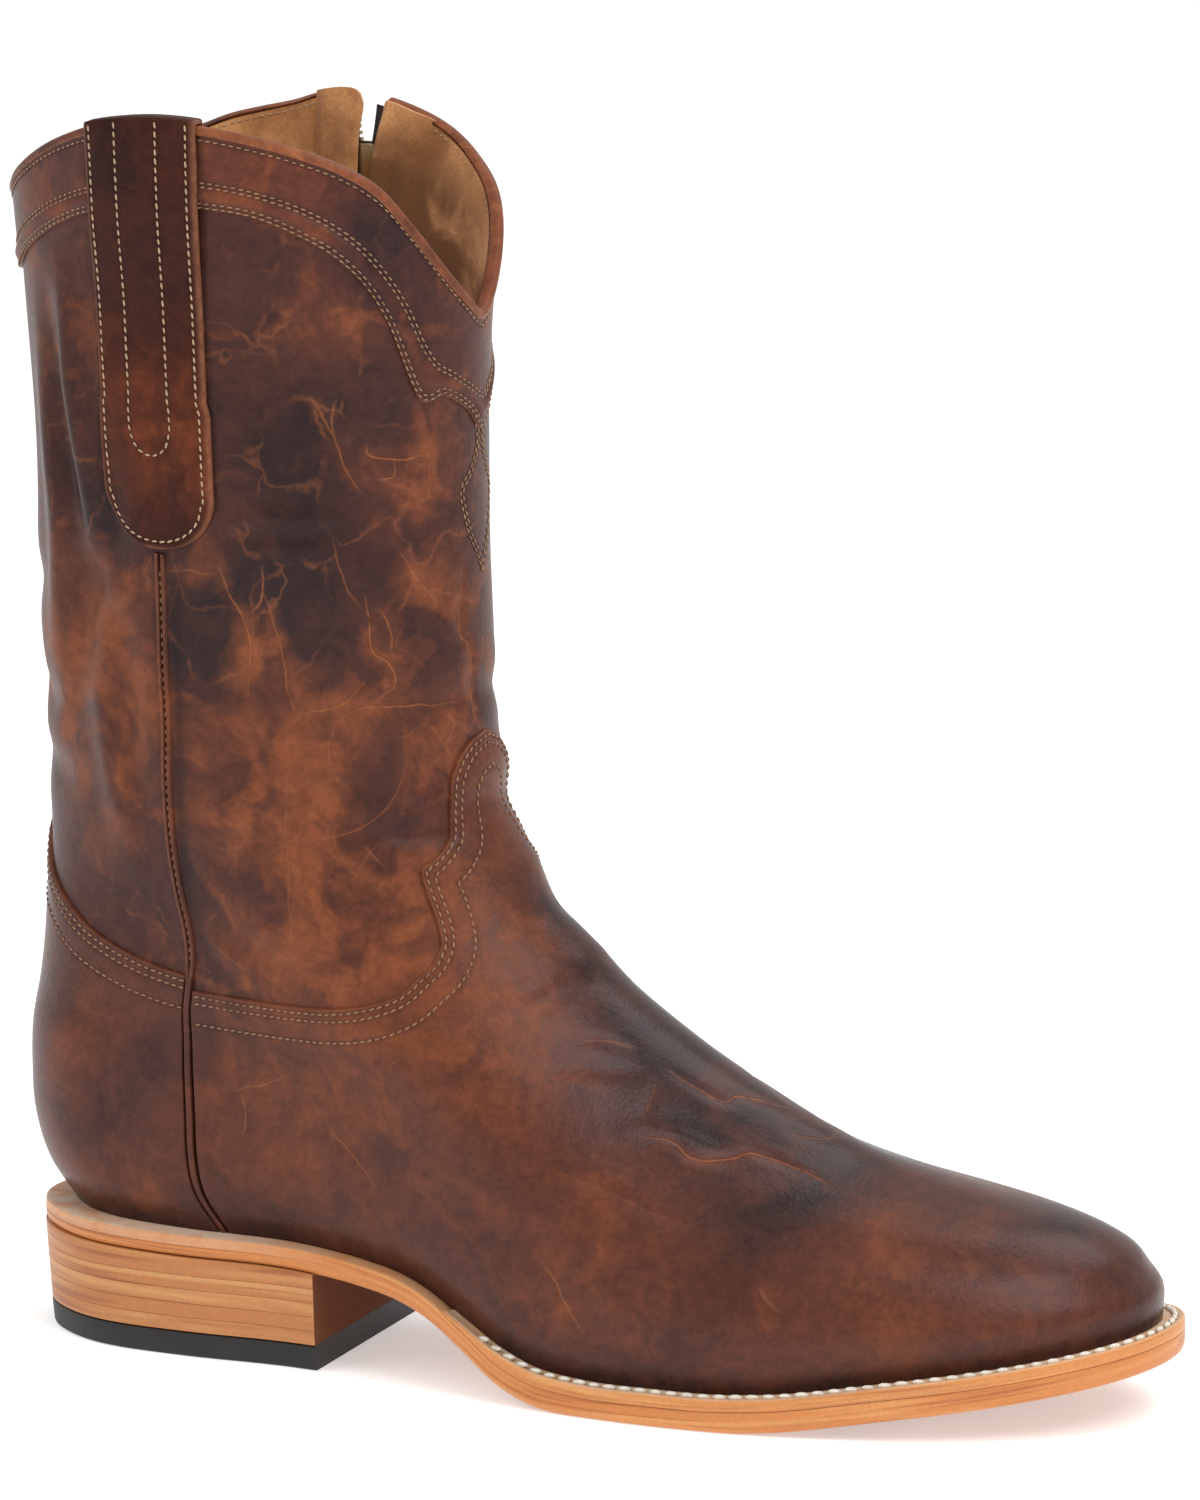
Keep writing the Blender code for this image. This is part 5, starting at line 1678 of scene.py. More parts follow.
@dataclass
class Shaft:
    """The shaft and its lining: one wall from the sole to the collar, slit for the zip."""

    fine_columns: int = 186
    plain_columns: int = 64
    slot_columns: int = 6
    row_step: float = 1.42
    fine_from: float = 5.6
    hidden_step: float = 0.5
    hidden_inset: float = 0.7
    knee: float = 13.2
    leather: float = 1.0
    wall: float = 2.0
    lining_columns: int = 190
    lining_rows: int = 84
    lining_foot: float = 0.25
    rim_drop: float = 0.012
    mm_per_level: float = 34.0
    middle_level: float = 13.5
    slot_angle: float = -78.75
    # Where the fine columns start and end, as shares of the way round
    fine_start: float = 0.17
    fine_end: float = 0.73
    # Painted shadow along the front of the side seam: strength, and distance and width in mm
    shade: float = 0.9
    shade_away: float = 3.8
    shade_width: float = 2.4

    def shares(self) -> Array:
        """Places of the columns, closer together on the outer side.

        Returns:
            Shares of the way from one side of the slot round to the other.
        """
        plain = self.plain_columns // 2
        front = np.linspace(0.0, self.fine_start, plain, endpoint=False)
        outer = np.linspace(self.fine_start, self.fine_end, self.fine_columns, endpoint=False)
        rear = np.linspace(self.fine_end, 1.0, self.plain_columns - plain)
        return np.concatenate([front, outer, rear])

    def levels(self) -> Array:
        """Rows below the knee.

        Returns:
            Levels, evenly spaced where they show.
        """
        fine = np.linspace(self.fine_from, self.knee, 400)
        heights = LAST.skin(90.0, fine)[:, 2]
        count = int((heights[-1] - heights[0]) / self.row_step)
        even = np.interp(np.linspace(heights[0], heights[-1], count), heights, fine)
        hidden = np.arange(0.0, self.fine_from - 0.3, self.hidden_step)
        above = even[even > LAST.zip_foot]
        below = even[even < LAST.zip_foot - 0.02]
        return np.concatenate([hidden, below, [LAST.zip_foot], above])

    def grid(self) -> tuple[Array, Array, Array]:
        """The wall's grid.

        Returns:
            Angles and levels of the points, and the cells left out for the slot.
        """
        low, share = self.levels(), self.shares()
        columns = len(share)
        slot = np.linspace(0, 1, self.slot_columns + 1)[1:-1]
        around = around_zip(np.full(1, self.middle_level), share, 0.0)
        rough = np.concatenate([around, self.slot_angle + 0 * slot])
        rise = float(np.mean(LAST.collar(rough))) - self.knee
        rows_above = int(rise * self.mm_per_level / self.row_step)
        up = np.linspace(0, 1, rows_above + 1)[1:, None]
        tops = LAST.collar(rough) - self.rim_drop
        level = np.concatenate([np.repeat(low[:, None], len(rough), 1), self.knee + (tops - self.knee) * up])
        angle = np.empty_like(level)
        angle[:, :columns] = around_zip(level[:, :columns], share, 0.0)
        half = LAST.slot_half(level[:, columns:])
        angle[:, columns:] = LAST.beside_zip(level[:, columns:], -half + 2 * half * slot)
        left_out = np.zeros((len(level) - 1, level.shape[1]), bool)
        left_out[np.searchsorted(low, LAST.zip_foot):, columns - 1:] = True
        return angle, level, left_out

    def build(self, rows: Sequence[Path]) -> None:
        """Makes the leather of the shaft.

        Args:
            rows: Paths of the stitches that lie in the shaft's own leather.
        """
        angle, level, left_out = self.grid()
        skin = Skin(angle, level)
        tints = skin.tints()
        # Painted shadows beside the pull strap and in front of the outer side seam, kept in the seam value
        # with the stitch rows
        shade = np.maximum(PullStrap().shade(angle, level), self.seam_shade(angle, level))
        tints["seam"] = np.maximum(0.6 * seam_share(skin.at(0.0), rows, 0.7), shade)
        out = -self.hidden_inset * (1 - ease(self.fine_from - 0.6, self.fine_from, level))
        look = SHAFT_LEATHER.material()
        piece = make_wall("shaft", skin.at(out), skin.at(-self.leather), look, tints, True, left_out)
        dress(piece, Slot.SHAFT, "upper")

    def seam_shade(self, angle: Array, level: Array) -> Array:
        """Painted shadow on the leather along the front of the outer side seam.

        Args:
            angle: Angles round the foot.
            level: Levels.

        Returns:
            A share for each pair.
        """
        seam = LAST.side_seam(level)
        away = (seam - turned(angle)) * LAST.mm_per_degree(seam, level)
        along = ease(7.2, 8.6, level) * (1 - ease(12.9, 13.4, level))
        return self.shade * bell((away - self.shade_away) / self.shade_width) * along

    def build_lining(self, rows: Sequence[Path]) -> None:
        """Makes the lining inside the leather.

        Args:
            rows: Paths of the stitches that come through to the lining.
        """
        share = np.linspace(0, 1, self.lining_columns)
        angle = around_zip(np.full((1, self.lining_columns), self.middle_level), share, 0.6)
        up = np.linspace(0, 1, self.lining_rows)[:, None] ** 0.8
        level = self.lining_foot + (LAST.collar(angle) - 2 * self.rim_drop - self.lining_foot) * up
        angle = around_zip(level, share, 0.3)
        skin = Skin(angle, level)
        sag = 0.5 * np.sin(level * 5.0 + np.radians(angle) * 3.0) * ease(9.0, 12.0, level)
        outside = skin.at(-self.leather - 0.15)
        inside = skin.at(-self.wall - np.abs(sag) * 0.6)
        tints = {"seam": 0.3 * seam_share(inside, rows, 0.9)}
        # Painted shade and stains inside the shaft: darker below the rim, mostly on the inner front half
        stained = 0.05 + 0.95 * ease(-96, -80, angle) * (1 - ease(0, 90, angle))
        tints["deep"] = stained * ease(0.0, 0.6, LAST.collar(angle) - level)
        piece = make_wall("lining", outside, inside, LINING.material(), tints)
        dress(piece, Slot.LINING)


@dataclass
class Collar:
    """The band along the collar, its rolled binding and their rows of stitches."""

    columns: int = 330
    rows: int = 44
    thickness: float = 0.95
    edge_thickness: float = 0.35
    edge_below: float = 0.035
    end_clear: float = 1.2
    level_per_mm: float = 1 / 32.0
    pair: float = 0.55
    top_row: float = 3.1
    inside_row: float = 2.2
    inside_out: float = -2.25
    stitch_out: float = 0.12
    row_level: float = 15.3
    row_points: int = 700
    row_clear: float = 4.0
    puff: float = 0.75
    pitch: float = 2.1
    stitch: Sizes = (1.5, 0.46, 0.42)
    slant: float = 0.12
    # Section of the binding: distance out of the skin, and drop below the rim
    section: tuple[Spot, ...] = (
        (0.90, 1.8), (1.3, 1.7), (1.55, 1.3), (1.55, 0.6), (1.3, -0.05), (0.7, -0.55), (-0.4, -0.75),
        (-1.5, -0.45), (-2.3, 0.1), (-2.4, 0.6), (-2.2, 0.9), (-2.05, 0.3), (0.85, 0.3),
    )

    def row(self, table: Array, drop: float = 0.0) -> Array:
        """A row that a table gives, from one side of the zip to the other.

        Args:
            table: Angles and levels of the row on the outer side.
            drop: How far below the row the line lies, in millimetres.

        Returns:
            Angles and levels along the line.
        """
        share = np.linspace(0, 1, self.row_points)
        angle = around_zip(np.full(1, self.row_level), share, self.row_clear)
        return np.column_stack([angle, LAST.collar_row(table, angle) - drop * self.level_per_mm])

    def stitch_rows(self) -> dict[str, list[Path]]:
        """Rows of stitches.

        Returns:
            Paths on the band, on the shaft's front below it and inside on the lining, by name.
        """
        on_band = [self.row(COLLAR, self.top_row)]
        for table, side in ((UPPER_ROW, -1), (UPPER_ROW, 1), (BAND_EDGE, -1), (BAND_EDGE, 1)):
            on_band.append(moved_line(self.row(table), side * self.pair))
        drops = []
        for sign in (1, -1):
            half = smooth_line([(sign * angle, level) for angle, level in FRONT_DROP], 90)
            drops += [moved_line(half, sign * distance) for distance in (-self.pair, self.pair)]
        lining, out = on_upper(self.row(COLLAR, self.inside_row), self.inside_out)
        return {
            "band": [on_upper(line, self.thickness + self.stitch_out) for line in on_band],
            "drop": [on_upper(line, self.stitch_out) for line in drops],
            "lining": [(lining, -out)],
        }

    def build_band(self, rows: Sequence[Path]) -> None:
        """Makes the band, swollen between its two double rows.

        Args:
            rows: Paths of the band's stitches.
        """
        share = np.linspace(0, 1, self.columns)
        rough = around_zip(np.full((1, self.columns), 15.6), share, self.end_clear)
        low = LAST.collar_row(BAND_EDGE, rough) - self.edge_below
        high = LAST.collar(rough) - 0.03
        up = np.linspace(0, 1, self.rows)[:, None]
        level = low + (high - low) * up
        angle = around_zip(level, share, self.end_clear)
        skin = Skin(angle, level)
        drop = (level - low) / self.level_per_mm
        upper = LAST.collar_row(UPPER_ROW, angle)
        middle = (upper + low + self.edge_below) / 2
        spread = (upper - low - self.edge_below) * 0.30
        puff = self.puff * bell((level - middle) / spread)
        thick = self.edge_thickness + (self.thickness - self.edge_thickness) * rounded(drop, 1.6, 0.0)
        tints = skin.tints()
        between = bell((level - middle) / (spread * 1.5), 4)
        side = np.abs(turned(angle))
        bright = between * (0.10 + 0.65 * bell((side - 76) / 20))
        front = 0.45 * bell((side - 44) / 14)
        tints["rust"] = np.clip(tints["rust"] * 0.7 + bright, 0, 1)
        tints["deep"] = np.clip(tints["deep"] + 0.10 + front - bright, 0, 1)
        sewn = 0.6 * seam_share(skin.at(self.thickness), rows, 0.6)
        # Painted shadow beside the pull strap's long edges, kept in the seam value with the stitch rows
        tints["seam"] = np.maximum(sewn, PullStrap().shade(angle, level))
        tints["cut"] = bell(drop / 0.7) * 0.5
        look = BAND_LEATHER.material()
        piece = make_wall("collar_band_leather", skin.at(thick + puff), skin.at(CLOSE), look, tints)
        dress(piece, Slot.SHAFT, "collar_band")

    def build_binding(self) -> None:
        """Makes the rolled binding over the rim."""
        share = np.linspace(0, 1, self.columns)
        angle = around_zip(np.full(self.columns, 16.2), share, 0.4)
        rim = LAST.collar(angle)
        run = LAST.skin(angle, rim)
        slope = np.abs(np.gradient(run[:, 2]) / np.linalg.norm(np.gradient(run[:, :2], axis=0), axis=1))
        steep = np.sqrt(1 + slope**2)
        out, drop = np.array(self.section).T
        skin = Skin(angle[:, None] + 0 * out, rim[:, None] - steep[:, None] * drop * self.level_per_mm)
        tints = skin.tints()
        behind = 0.9 * ease(104, 118, np.abs(turned(angle)))[:, None]
        tints["deep"] = np.clip(tints["deep"] + behind, 0, 1)
        tints["rust"] = tints["rust"] * (1 - behind)
        tints["cut"] = np.zeros(skin.level.shape)
        tints["cut"][:, :2] = 0.4
        tints["seam"] = np.zeros(skin.level.shape)
        tints["seam"][:, 9:11] = 0.9
        piece = make_loft("collar_binding", skin.at(out), BINDING_LEATHER.material(), tints)
        dress(piece, Slot.SHAFT)

    def build_stitches(self, rows: dict[str, list[Path]]) -> None:
        """Makes the stitches of the band, of the lining and of the drop on the shaft's front.

        Args:
            rows: Paths of the stitches, by name.
        """
        beige, light = BEIGE_THREAD.material(), STRAP_THREAD.material()
        parts = (("band", "collar", beige), ("lining", "lining", light), ("drop", "front", beige))
        for part, name, look in parts:
            piece = STITCHES.make(f"{name}_stitches", rows[part], self.pitch, self.stitch, look, self.slant)
            dress(piece, Slot.SHAFT)


@dataclass
class Panel:
    """A panel of the foot: vamp or counter, with its stitched edge.

    The edge is a table of angles and levels from the panel's middle, which is turned by an angle
    from the boot's own middle. The corner is the level where the edge meets the side seams.
    """

    name: str
    node: str
    edge: Array
    middle: float
    turn: float
    corner: float
    columns: int
    rows: int
    thickness: float = 1.25
    foot: float = 0.03
    round_edge: float = 0.9
    seam_gap: float = 1.2
    pitch: float = 2.2
    stitch: Sizes = (1.65, 0.62, 0.5)
    slant: float = 0.15
    stitch_out: float = 0.10
    row_points: int = 700
    offsets: tuple[float, ...] = (1.3, 3.3, 9.0)

    # Columns near the sides, in degrees from them, and rows near the edge, in mm below it
    SIDE_STEPS = np.array([0.0, 0.15, 0.4, 0.8, 1.4])
    SIDE_END = 2.2
    EDGE_STEPS = (0.0, 0.12, 0.3, 0.55, 0.9, 1.5, 2.3, 3.2, 4.2, 5.3, 6.5, 8.0, 9.5, 11.0)

    def edge_level(self, angle: Any) -> Array:
        """Level of the panel's upper edge."""
        return through(self.edge, np.abs(turned(angle - self.turn)))[..., 0]

    def half(self) -> float:
        """Half of the angle that the panel spans at its corners.

        Returns:
            Degrees from the panel's middle.
        """
        seam = float(LAST.side_seam(self.corner))
        gap = self.seam_gap / float(LAST.mm_per_degree(seam, self.corner))
        return abs(seam - self.middle) - gap

    def top_angles(self) -> Array:
        """Columns at the upper edge.

        Returns:
            Angles, closer together at the two sides.
        """
        half = self.half()
        even = np.linspace(self.SIDE_END - half, half - self.SIDE_END, self.columns)
        return self.middle + np.concatenate([self.SIDE_STEPS - half, even, (half - self.SIDE_STEPS)[::-1]])

    def grid(self) -> tuple[Array, Array, Array]:
        """The panel's grid.

        Returns:
            Angles and levels of the points, and their distance below the edge in millimetres.
        """
        tops = self.top_angles()
        levels, below = [], []
        for angle, edge in zip(tops, self.edge_level(tops)):
            fine = np.linspace(self.foot, edge, 60)
            steps = np.linalg.norm(np.diff(LAST.skin(angle, fine), axis=0), axis=1)
            drop = np.concatenate([np.cumsum(steps[::-1])[::-1], [0.0]])
            even = np.linspace(self.EDGE_STEPS[-1], drop[0], self.rows + 1)[1:]
            wanted = np.concatenate([self.EDGE_STEPS, even])[::-1]
            levels.append(np.interp(wanted, drop[::-1], fine[::-1]))
            below.append(wanted)
        level, distance = np.stack(levels, 1), np.stack(below, 1)
        return self.follow_seams(tops, level), level, distance

    def follow_seams(self, tops: Array, level: Array) -> Array:
        """Moves the columns near the two sides so that they end beside the side seams.

        Args:
            tops: Angles of the columns at the upper edge.
            level: Levels of the points.

        Returns:
            Angles of the points.
        """
        across = (tops - self.middle) / self.half()
        shift = LAST.side_seam(np.minimum(level, self.corner)) - LAST.side_seam(self.corner)
        outwards = 1.0 if self.middle == 0 else -1.0
        return tops + outwards * shift * np.sign(across) * np.abs(across) ** 5

    def stitch_rows(self) -> list[Path]:
        """Rows of stitches along the edge.

        Returns:
            One path for each offset.
        """
        angle = self.middle + np.linspace(-self.half(), self.half(), self.row_points)
        edge = np.column_stack([angle, self.edge_level(angle)])
        lines = [moved_line(edge, offset) for offset in self.offsets]
        return [on_upper(line[3:-3], self.thickness + self.stitch_out) for line in lines]

    def build(self, look: Look, thread: Look) -> None:
        """Makes the panel and its stitches.

        Args:
            look: Material of the leather.
            thread: Material of the stitches.
        """
        angle, level, drop = self.grid()
        skin = Skin(angle, level)
        rows = self.stitch_rows()
        side = np.minimum(angle - angle[:, :1], angle[:, -1:] - angle)
        side = side * LAST.mm_per_degree(angle[:, :1], level[:, :1])
        soft = np.minimum(rounded(drop, self.round_edge), rounded(side, self.round_edge, 0.3))
        tints = skin.tints()
        # Painted shade along the foot of the panel, where it meets the welt
        tints["deep"] = np.maximum(tints["deep"], 0.7 * (1 - ease(0.1, 1.0, level)))
        tints["seam"] = 0.55 * seam_share(skin.at(self.thickness), rows, 0.6)
        tints["cut"] = 0.4 * bell(drop / 0.6)
        piece = make_wall(self.name, skin.at(self.thickness * soft), skin.at(CLOSE), look, tints)
        dress(piece, Slot.PANEL, self.node)
        sewn = STITCHES.make(f"{self.name}_stitches", rows, self.pitch, self.stitch, thread, self.slant)
        dress(sewn, Slot.PANEL)


@dataclass
class SideSeam:
    """A bead along a side seam: a low ridge on the foot, two ridges with stitches between them above."""

    name: str
    node: str
    line: Callable[[Any], Array]
    top: float
    foot: float = 0.03
    rows: int = 170
    full: float = 1.6
    narrow: float = 1.05
    crest: float = 1.05
    foot_crest: float = 1.4
    foot_top: float = 6.3
    shaft_from: float = 7.4
    pitch: float = 2.3
    stitch: Sizes = (1.5, 0.55, 0.4)
    stitch_height: float = 0.32
    bed: float = 0.03

    # Section of the bead: place across as a share of its half width, height on the shaft and on the foot
    SECTION = np.array([
        (-1.0, 0.05, 0.30), (-0.92, 0.55, 0.60), (-0.72, 0.95, 0.84), (-0.5, 1.0, 0.93), (-0.26, 0.75, 0.98),
        (0.0, 0.30, 1.0), (0.26, 0.75, 0.98), (0.5, 1.0, 0.93), (0.72, 0.95, 0.84), (0.92, 0.55, 0.60),
        (1.0, 0.05, 0.30),
    ])

    def build(self, look: Look, thread: Look) -> None:
        """Makes the bead and its stitches.

        Args:
            look: Material of the leather.
            thread: Material of the stitches.
        """
        across, high, low = self.SECTION.T
        level = np.linspace(self.foot, self.top, self.rows)
        middle = self.line(level)
        share = ease(self.foot_top, self.shaft_from, level)[:, None]
        half = self.narrow + (self.full - self.narrow) * share
        angle = middle[:, None] + half * across / LAST.mm_per_degree(middle, level)[:, None]
        skin = Skin(angle, np.broadcast_to(level[:, None], angle.shape))
        tints = skin.tints()
        groove = bell(across / 0.22) * share
        front = 0.5 * bell((np.abs(across) - 1.0) / 0.2) * (across * middle[:, None] < 0)
        tints["seam"] = np.maximum(groove, front * (1 - share))
        tints["cut"] = bell((np.abs(across) - 0.5) / 0.16) * (0.15 + 0.35 * share)
        height = self.foot_crest * low * (1 - share) + self.crest * high * share
        piece = make_wall(self.name, skin.at(height), skin.at(self.bed), look, tints)
        dress(piece, Slot.PANEL, self.node)
        sewn = level > self.shaft_from - 0.2
        path = on_upper(np.column_stack([middle, level])[sewn][:-2], self.crest * self.stitch_height)
        piece = STITCHES.make(f"{self.name}_stitches", [path], self.pitch, self.stitch, thread)
        dress(piece, Slot.PANEL)


@dataclass
class PullStrap:
    """The pull strap on the outer side, sewn down in four rows and folded over the collar."""

    angle: float = 99.7
    half_angle: float = 14.8
    foot: float = 13.33
    round_from: float = 13.72
    foot_flat: float = 0.985
    thickness: float = 1.8
    stand: float = 0.06
    inside_level: float = 15.6
    level_per_mm: float = 1 / 30.0
    follows_rim: float = 15.9
    lifts_from: float = 14.9
    lifted: float = 15.8
    wall: float = 2.0
    band: float = 1.4
    columns: int = 44
    per_row: int = 9
    tab_top: float = 14.30
    tab_wider: float = 0.05
    narrows: float = 0.06
    pitch: float = 2.3
    stitch: Sizes = (1.75, 0.6, 0.5)
    # Rows of stitches, as shares of the half width: the outer pair and the inner pair
    outer_rows: float = 0.86
    inner_rows: float = 0.36
    outer_foot: float = 0.055
    inner_foot: float = 13.98
    stitch_out: float = 0.10
    slant: float = 0.15
    mm_per_degree: float = 0.83
    # Over the rim: distances out of the inner and the outer face, and the row of the path that turns over
    rim_inner: float = 2.0
    rim_outer: float = 3.2
    turns_over: float = 12.5
    off_lining: float = 1.1

    FOOT_STEPS = (0.0, 0.02, 0.06, 0.12, 0.24)
    LEVELS = (14.1, 14.5, 14.9, 15.2, 15.5, 15.8, 16.15)
    # Over the rim: distance out as a share, and height above the rim in mm
    OVER_RIM = ((1.0, 0.4), (0.62, 1.0), (0.0, 1.25), (-0.7, 1.0), (-1.15, 0.4))
    INSIDE = (16.1, 15.85)
    # Places of the columns near the two long edges, as shares of the half width
    ENDS = np.array([0.925, 0.95, 0.97, 0.985, 0.995, 1.0])

    def lift(self, level: Any) -> Array:
        """How far the strap's inner face stands off the skin."""
        return self.stand + (self.band - self.stand) * ease(self.lifts_from, self.lifted, level)

    def width(self, level: Any) -> Array:
        """Half width at a level, as a share of the half angle, without the round foot."""
        wider = self.tab_wider * (1 - ease(self.tab_top, self.tab_top + 0.05, level))
        return 1 + wider - self.narrows * ease(self.tab_top, 16.5, level)

    def shade(self, angle: Array, level: Array) -> Array:
        """Painted shadow on the leather close beside the strap's long edges.

        Args:
            angle: Angles round the foot.
            level: Levels.

        Returns:
            A share for each pair.
        """
        away = np.abs(np.abs(turned(angle) - self.angle) - self.half_angle * self.width(level))
        away = away * LAST.mm_per_degree(self.angle, level)
        return 0.75 * bell(away / 1.3) * ease(self.round_from - 0.2, self.round_from, level)

    def path(self) -> Array:
        """The strap from its foot over the rim to its end on the lining.

        Returns:
            Rows of level and distance out, first of the inner face and then of the outer one.
        """
        rim = float(LAST.collar(self.angle))
        low = [self.foot + step for step in self.FOOT_STEPS] + [self.round_from, *self.LEVELS]
        rows = [(level, self.lift(level), level, self.lift(level) + self.thickness) for level in low]
        over = self.thickness * self.level_per_mm
        for turn, rise in self.OVER_RIM:
            level = rim + rise * self.level_per_mm
            rows.append((level, turn * self.rim_inner, level + over * rise * 0.5, turn * self.rim_outer))
        lining = -self.wall - self.off_lining
        for level in (*self.INSIDE, self.inside_level):
            rows.append((level, lining, level, lining - self.thickness))
        return np.array(rows)

    def build(self) -> None:
        """Makes the strap and its stitches."""
        coarse = self.path()
        count = (len(coarse) - 1) * self.per_row + 1
        numbered = np.column_stack([np.arange(len(coarse)), coarse])
        path = through(numbered, np.linspace(0, len(coarse) - 1, count))
        rim = float(LAST.collar(self.angle))
        across = np.concatenate([-self.ENDS[::-1], np.linspace(-0.9, 0.9, self.columns), self.ENDS])
        level = path[:, :1]
        outside = (np.arange(count) / self.per_row < self.turns_over)[:, None]
        drop = np.where(outside, (self.round_from - level) / (self.round_from - self.foot), 0)
        width = np.sqrt(1 - np.clip(drop, 0, self.foot_flat) ** 2) * self.width(level)
        angle = self.angle + self.half_angle * across * width
        shift = (LAST.collar(angle) - rim) * ease(self.follows_rim, rim, level)
        inner = Skin(angle, level + shift)
        outer = Skin(angle, path[:, 2:3] + shift)
        side = (1 - np.abs(across)) * self.half_angle * self.mm_per_degree * width
        toe = np.where(outside, (level - self.foot) / self.level_per_mm + 0.25, 9.0)
        soft = np.minimum(rounded(side, 1.0, 0.35), rounded(toe, 1.0, 0.35))
        under = inner.at(path[:, 1:2])
        over = under + (outer.at(path[:, 3:4]) - under) * soft[..., None]
        rows = self.stitch_rows()
        tints = outer.tints()
        tints["seam"] = 0.55 * seam_share(over, rows, 0.6)
        tints["cut"] = bell(np.minimum(side, toe) / 0.7) * 0.7
        rusty = (1 - ease(13.9, 15.0, level)) * ease(13.3, 14.1, level) * outside + 0 * side
        tints["deep"] = np.clip(0.55 - 0.8 * rusty, 0, 1)
        tints["rust"] = np.clip(tints["rust"] * 0.3 + 0.5 * rusty, 0, 1)
        piece = make_wall("pull_strap_leather", over, under, STRAP_LEATHER.material(), tints)
        dress(piece, Slot.STRAP, "pull_strap")
        thread = STRAP_THREAD.material()
        sewn = STITCHES.make("strap_stitches", rows, self.pitch, self.stitch, thread, self.slant)
        dress(sewn, Slot.STRAP)

    def stitch_rows(self) -> list[Path]:
        """Rows of stitches, each down one side, round the foot and up the other side.

        Returns:
            Paths of the outer row and of the inner one.
        """
        paths = []
        rim = float(LAST.collar(self.angle))
        feet = (self.foot + self.outer_foot, self.inner_foot)
        for share, foot in zip((self.outer_rows, self.inner_rows), feet):
            reach = self.half_angle * share
            bend = min(0.30, reach / 30.0)
            up = np.linspace(rim, foot + bend, 70)
            curve = np.radians(np.linspace(0, 180, 40))[1:-1]
            left = np.column_stack([-reach * self.width(up), up])
            turn = np.column_stack([-reach * np.cos(curve), foot + bend - bend * np.sin(curve)])
            right = np.column_stack([reach * self.width(up), up])[::-1]
            line = np.concatenate([left, turn, right])
            angle, level = line[:, 0] + self.angle, line[:, 1]
            skin = Skin(angle, level + (LAST.collar(angle) - rim) * ease(self.follows_rim, rim, level))
            paths.append((skin.at(self.lift(level) + self.thickness + self.stitch_out), skin.normal))
        return paths


# Angles where the two sides of a plate meet, just short of the middle
TOE_END, HEEL_END = 0.1, 179.9


def both_edges(edge: Sequence[Sequence[float]], step: Callable[..., Array]) -> Array:
    """Rings across a layer of the sole.

    Args:
        edge: Steps of its edge, from below to above.
        step: Gives the points of one side, 1 or -1, at one step.

    Returns:
        Rings that run up the outer edge and down the inner one.
    """
    outer, inner = (np.stack([step(sign, *row) for row in edge], 1) for sign in (1, -1))
    return np.concatenate([outer, inner[:, ::-1]], 1)


